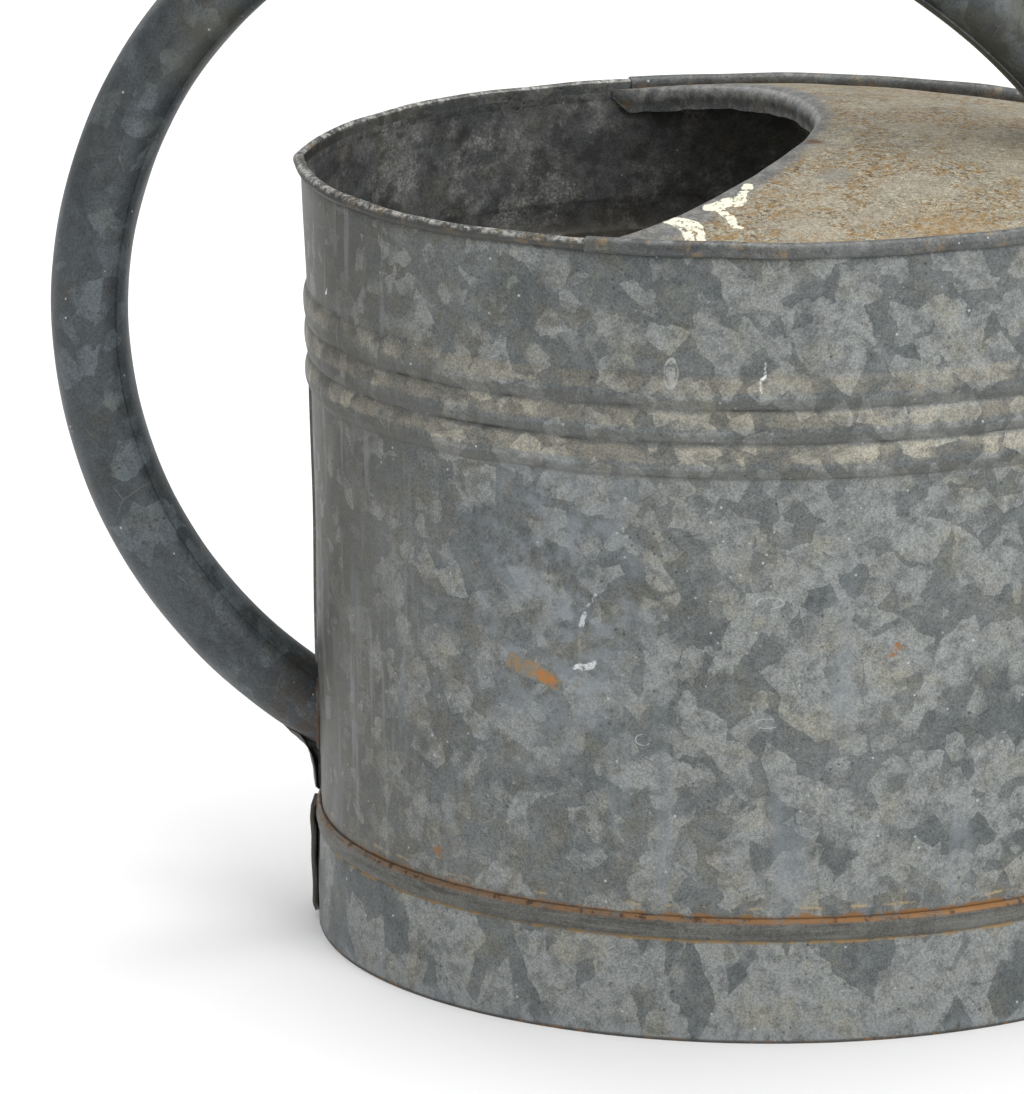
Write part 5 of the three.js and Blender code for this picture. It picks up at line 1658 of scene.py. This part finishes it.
class CAN_OT_rose(bpy.types.Operator):
    """Build the brass ferrule, and the rose with its sleeve, cone and perforated face"""

    bl_idname = "can.rose"
    bl_label = "Ferrule and rose"

    def execute(self, context):
        make_materials(context)
        shape = Shape(context.scene.can_sizes)
        brass = [material("tarnished_brass")]
        mesh = plain_mesh("ferrule", [turned(shape, ferrule_section(shape))], brass, sharp=30)
        place_piece("ferrule", mesh, CAN, ["spout_ferrule"])
        start = shape.spout_length + FLANGE + GAP
        end = start + SLEEVE_LENGTH
        mesh = plain_mesh("sleeve", [turned(shape, sleeve_section(shape, start, end))], brass, sharp=30)
        place_piece("sleeve", mesh, ROSE, ["rose_sleeve"])
        zinc = [material("weathered_spout")]
        mesh = plain_mesh("rose_cone_sheet", [turned(shape, cone_section(shape, end), 120)], zinc, sharp=40)
        place_piece("rose_cone_sheet", mesh, ROSE, ["rose_cone"])
        face = face_mesh(shape, end + CONE_LENGTH)
        place_piece("rose_face_plate", face, ROSE, ["rose_face"])
        return {"FINISHED"}


# ---- Stage --------------------------------------------------------------------------------------


def floor_finish(colours):
    """The stage's pale floor."""
    paint = Paint("floor")
    fine = paint.noise(0.4, 3, 0.5)
    paint.tone = paint.mix(tuple(colours.floor), tuple(0.97 * c for c in colours.floor), fine.step(0.3, 0.7))
    paint.roughness, paint.height = 0.85, fine
    return paint.finish(metallic=0.0, strength=0.02)


def add_light(name, place, aim, size, power):
    """A round soft light that faces the aim; its size is in metres and its power in watts."""
    data = bpy.data.lights.new(name, "AREA")
    data.shape, data.size, data.energy = "DISK", size, power
    lamp = bpy.data.objects.new(name, data)
    lamp.location = place
    lamp.rotation_euler = (Vector(aim) - Vector(place)).to_track_quat("-Z", "Y").to_euler()
    bpy.context.scene.collection.objects.link(lamp)


def lay_floor(scene):
    """A pale floor that reaches far behind the can."""
    mesh = bpy.data.meshes.new("floor")
    reach = 30.0
    corners = [(-reach, -reach, 0), (reach, -reach, 0), (reach, reach, 0), (-reach, reach, 0)]
    mesh.from_pydata(corners, [], [(0, 1, 2, 3)])
    mesh.materials.append(floor_finish(scene.can_colours))
    floor = bpy.data.objects.new("floor", mesh)
    scene.collection.objects.link(floor)


def light_world(scene):
    """An even white light from all round."""
    world = bpy.data.worlds.new("studio")
    world.use_nodes = True
    backdrop = world.node_tree.nodes["Background"]
    backdrop.inputs["Color"].default_value = (1.0, 1.0, 1.0, 1.0)
    backdrop.inputs["Strength"].default_value = 0.55
    scene.world = world


def aim_camera(scene):
    """A long lens that looks at the can's side from a little above it."""
    data = bpy.data.cameras.new("camera")
    data.lens, data.sensor_width, data.sensor_fit = 202.34, 36, "AUTO"
    data.clip_start, data.clip_end = 0.05, 100
    camera = bpy.data.objects.new("camera", data)
    azimuth, elevation, roll, distance = 0.0887, 0.3203, -0.0148, 2.2055
    level = math.cos(elevation)
    back = Vector((math.sin(azimuth) * level, -math.cos(azimuth) * level, math.sin(elevation)))
    right = Vector((0, 0, 1)).cross(back).normalized()
    up = back.cross(right)
    turned_right = math.cos(roll) * right + math.sin(roll) * up
    turned_up = math.cos(roll) * up - math.sin(roll) * right
    place = Vector((middle_x - 87.48 * MM, 0, 139.39 * MM)) + back * distance
    turn = Matrix((turned_right, turned_up, back)).transposed().to_4x4()
    camera.matrix_world = Matrix.Translation(place) @ turn
    scene.collection.objects.link(camera)
    scene.camera = camera


class CAN_OT_stage(bpy.types.Operator):
    """Lay the pale floor, hang the soft lights and set up the camera"""

    bl_idname = "can.stage"
    bl_label = "Stage"

    def execute(self, context):
        scene = context.scene
        lay_floor(scene)
        light_world(scene)
        aim = (middle_x, 0, 0.15)
        add_light("overhead", (middle_x + 0.3, 0.3, 2.4), aim, 2.2, 44)
        add_light("key", (middle_x + 1.7, -2.0, 1.7), aim, 1.6, 40)
        add_light("fill", (middle_x - 2.2, -1.6, 1.2), aim, 1.6, 4)
        add_light("rear", (middle_x - 1.6, 1.9, 1.5), aim, 1.4, 16)
        aim_camera(scene)
        scene.view_settings.view_transform = "Standard"
        return {"FINISHED"}


# ---- Add-on -------------------------------------------------------------------------------------


class CAN_PT_panel(bpy.types.Panel):
    """Lists the pieces, sizes and colours in the sidebar"""

    bl_idname = "CAN_PT_panel"
    bl_label = "Watering can"
    bl_space_type = "VIEW_3D"
    bl_region_type = "UI"
    bl_category = "Can"

    def draw(self, context):
        for operator in OPERATORS:
            self.layout.operator(operator.bl_idname)
        for group in (context.scene.can_sizes, context.scene.can_colours):
            column = self.layout.column(align=True)
            for name in group.__annotations__:
                column.prop(group, name)


OPERATORS = (
    CAN_OT_body, CAN_OT_foot, CAN_OT_cover, CAN_OT_handle,
    CAN_OT_spout, CAN_OT_brace, CAN_OT_rose, CAN_OT_stage,
)
CLASSES = (CanSizes, CanColours, *OPERATORS, CAN_PT_panel)


def register():
    """Adds the classes and the scene's sizes and colours."""
    for cls in CLASSES:
        bpy.utils.register_class(cls)
    bpy.types.Scene.can_sizes = PointerProperty(type=CanSizes)
    bpy.types.Scene.can_colours = PointerProperty(type=CanColours)


def unregister():
    """Takes them away again."""
    del bpy.types.Scene.can_colours
    del bpy.types.Scene.can_sizes
    for cls in reversed(CLASSES):
        bpy.utils.unregister_class(cls)


def main():
    """Builds every piece and the stage."""
    register()
    for step in ("body", "foot", "cover", "handle", "spout", "brace", "rose", "stage"):
        getattr(bpy.ops.can, step)()


if __name__ == "__main__":
    main()
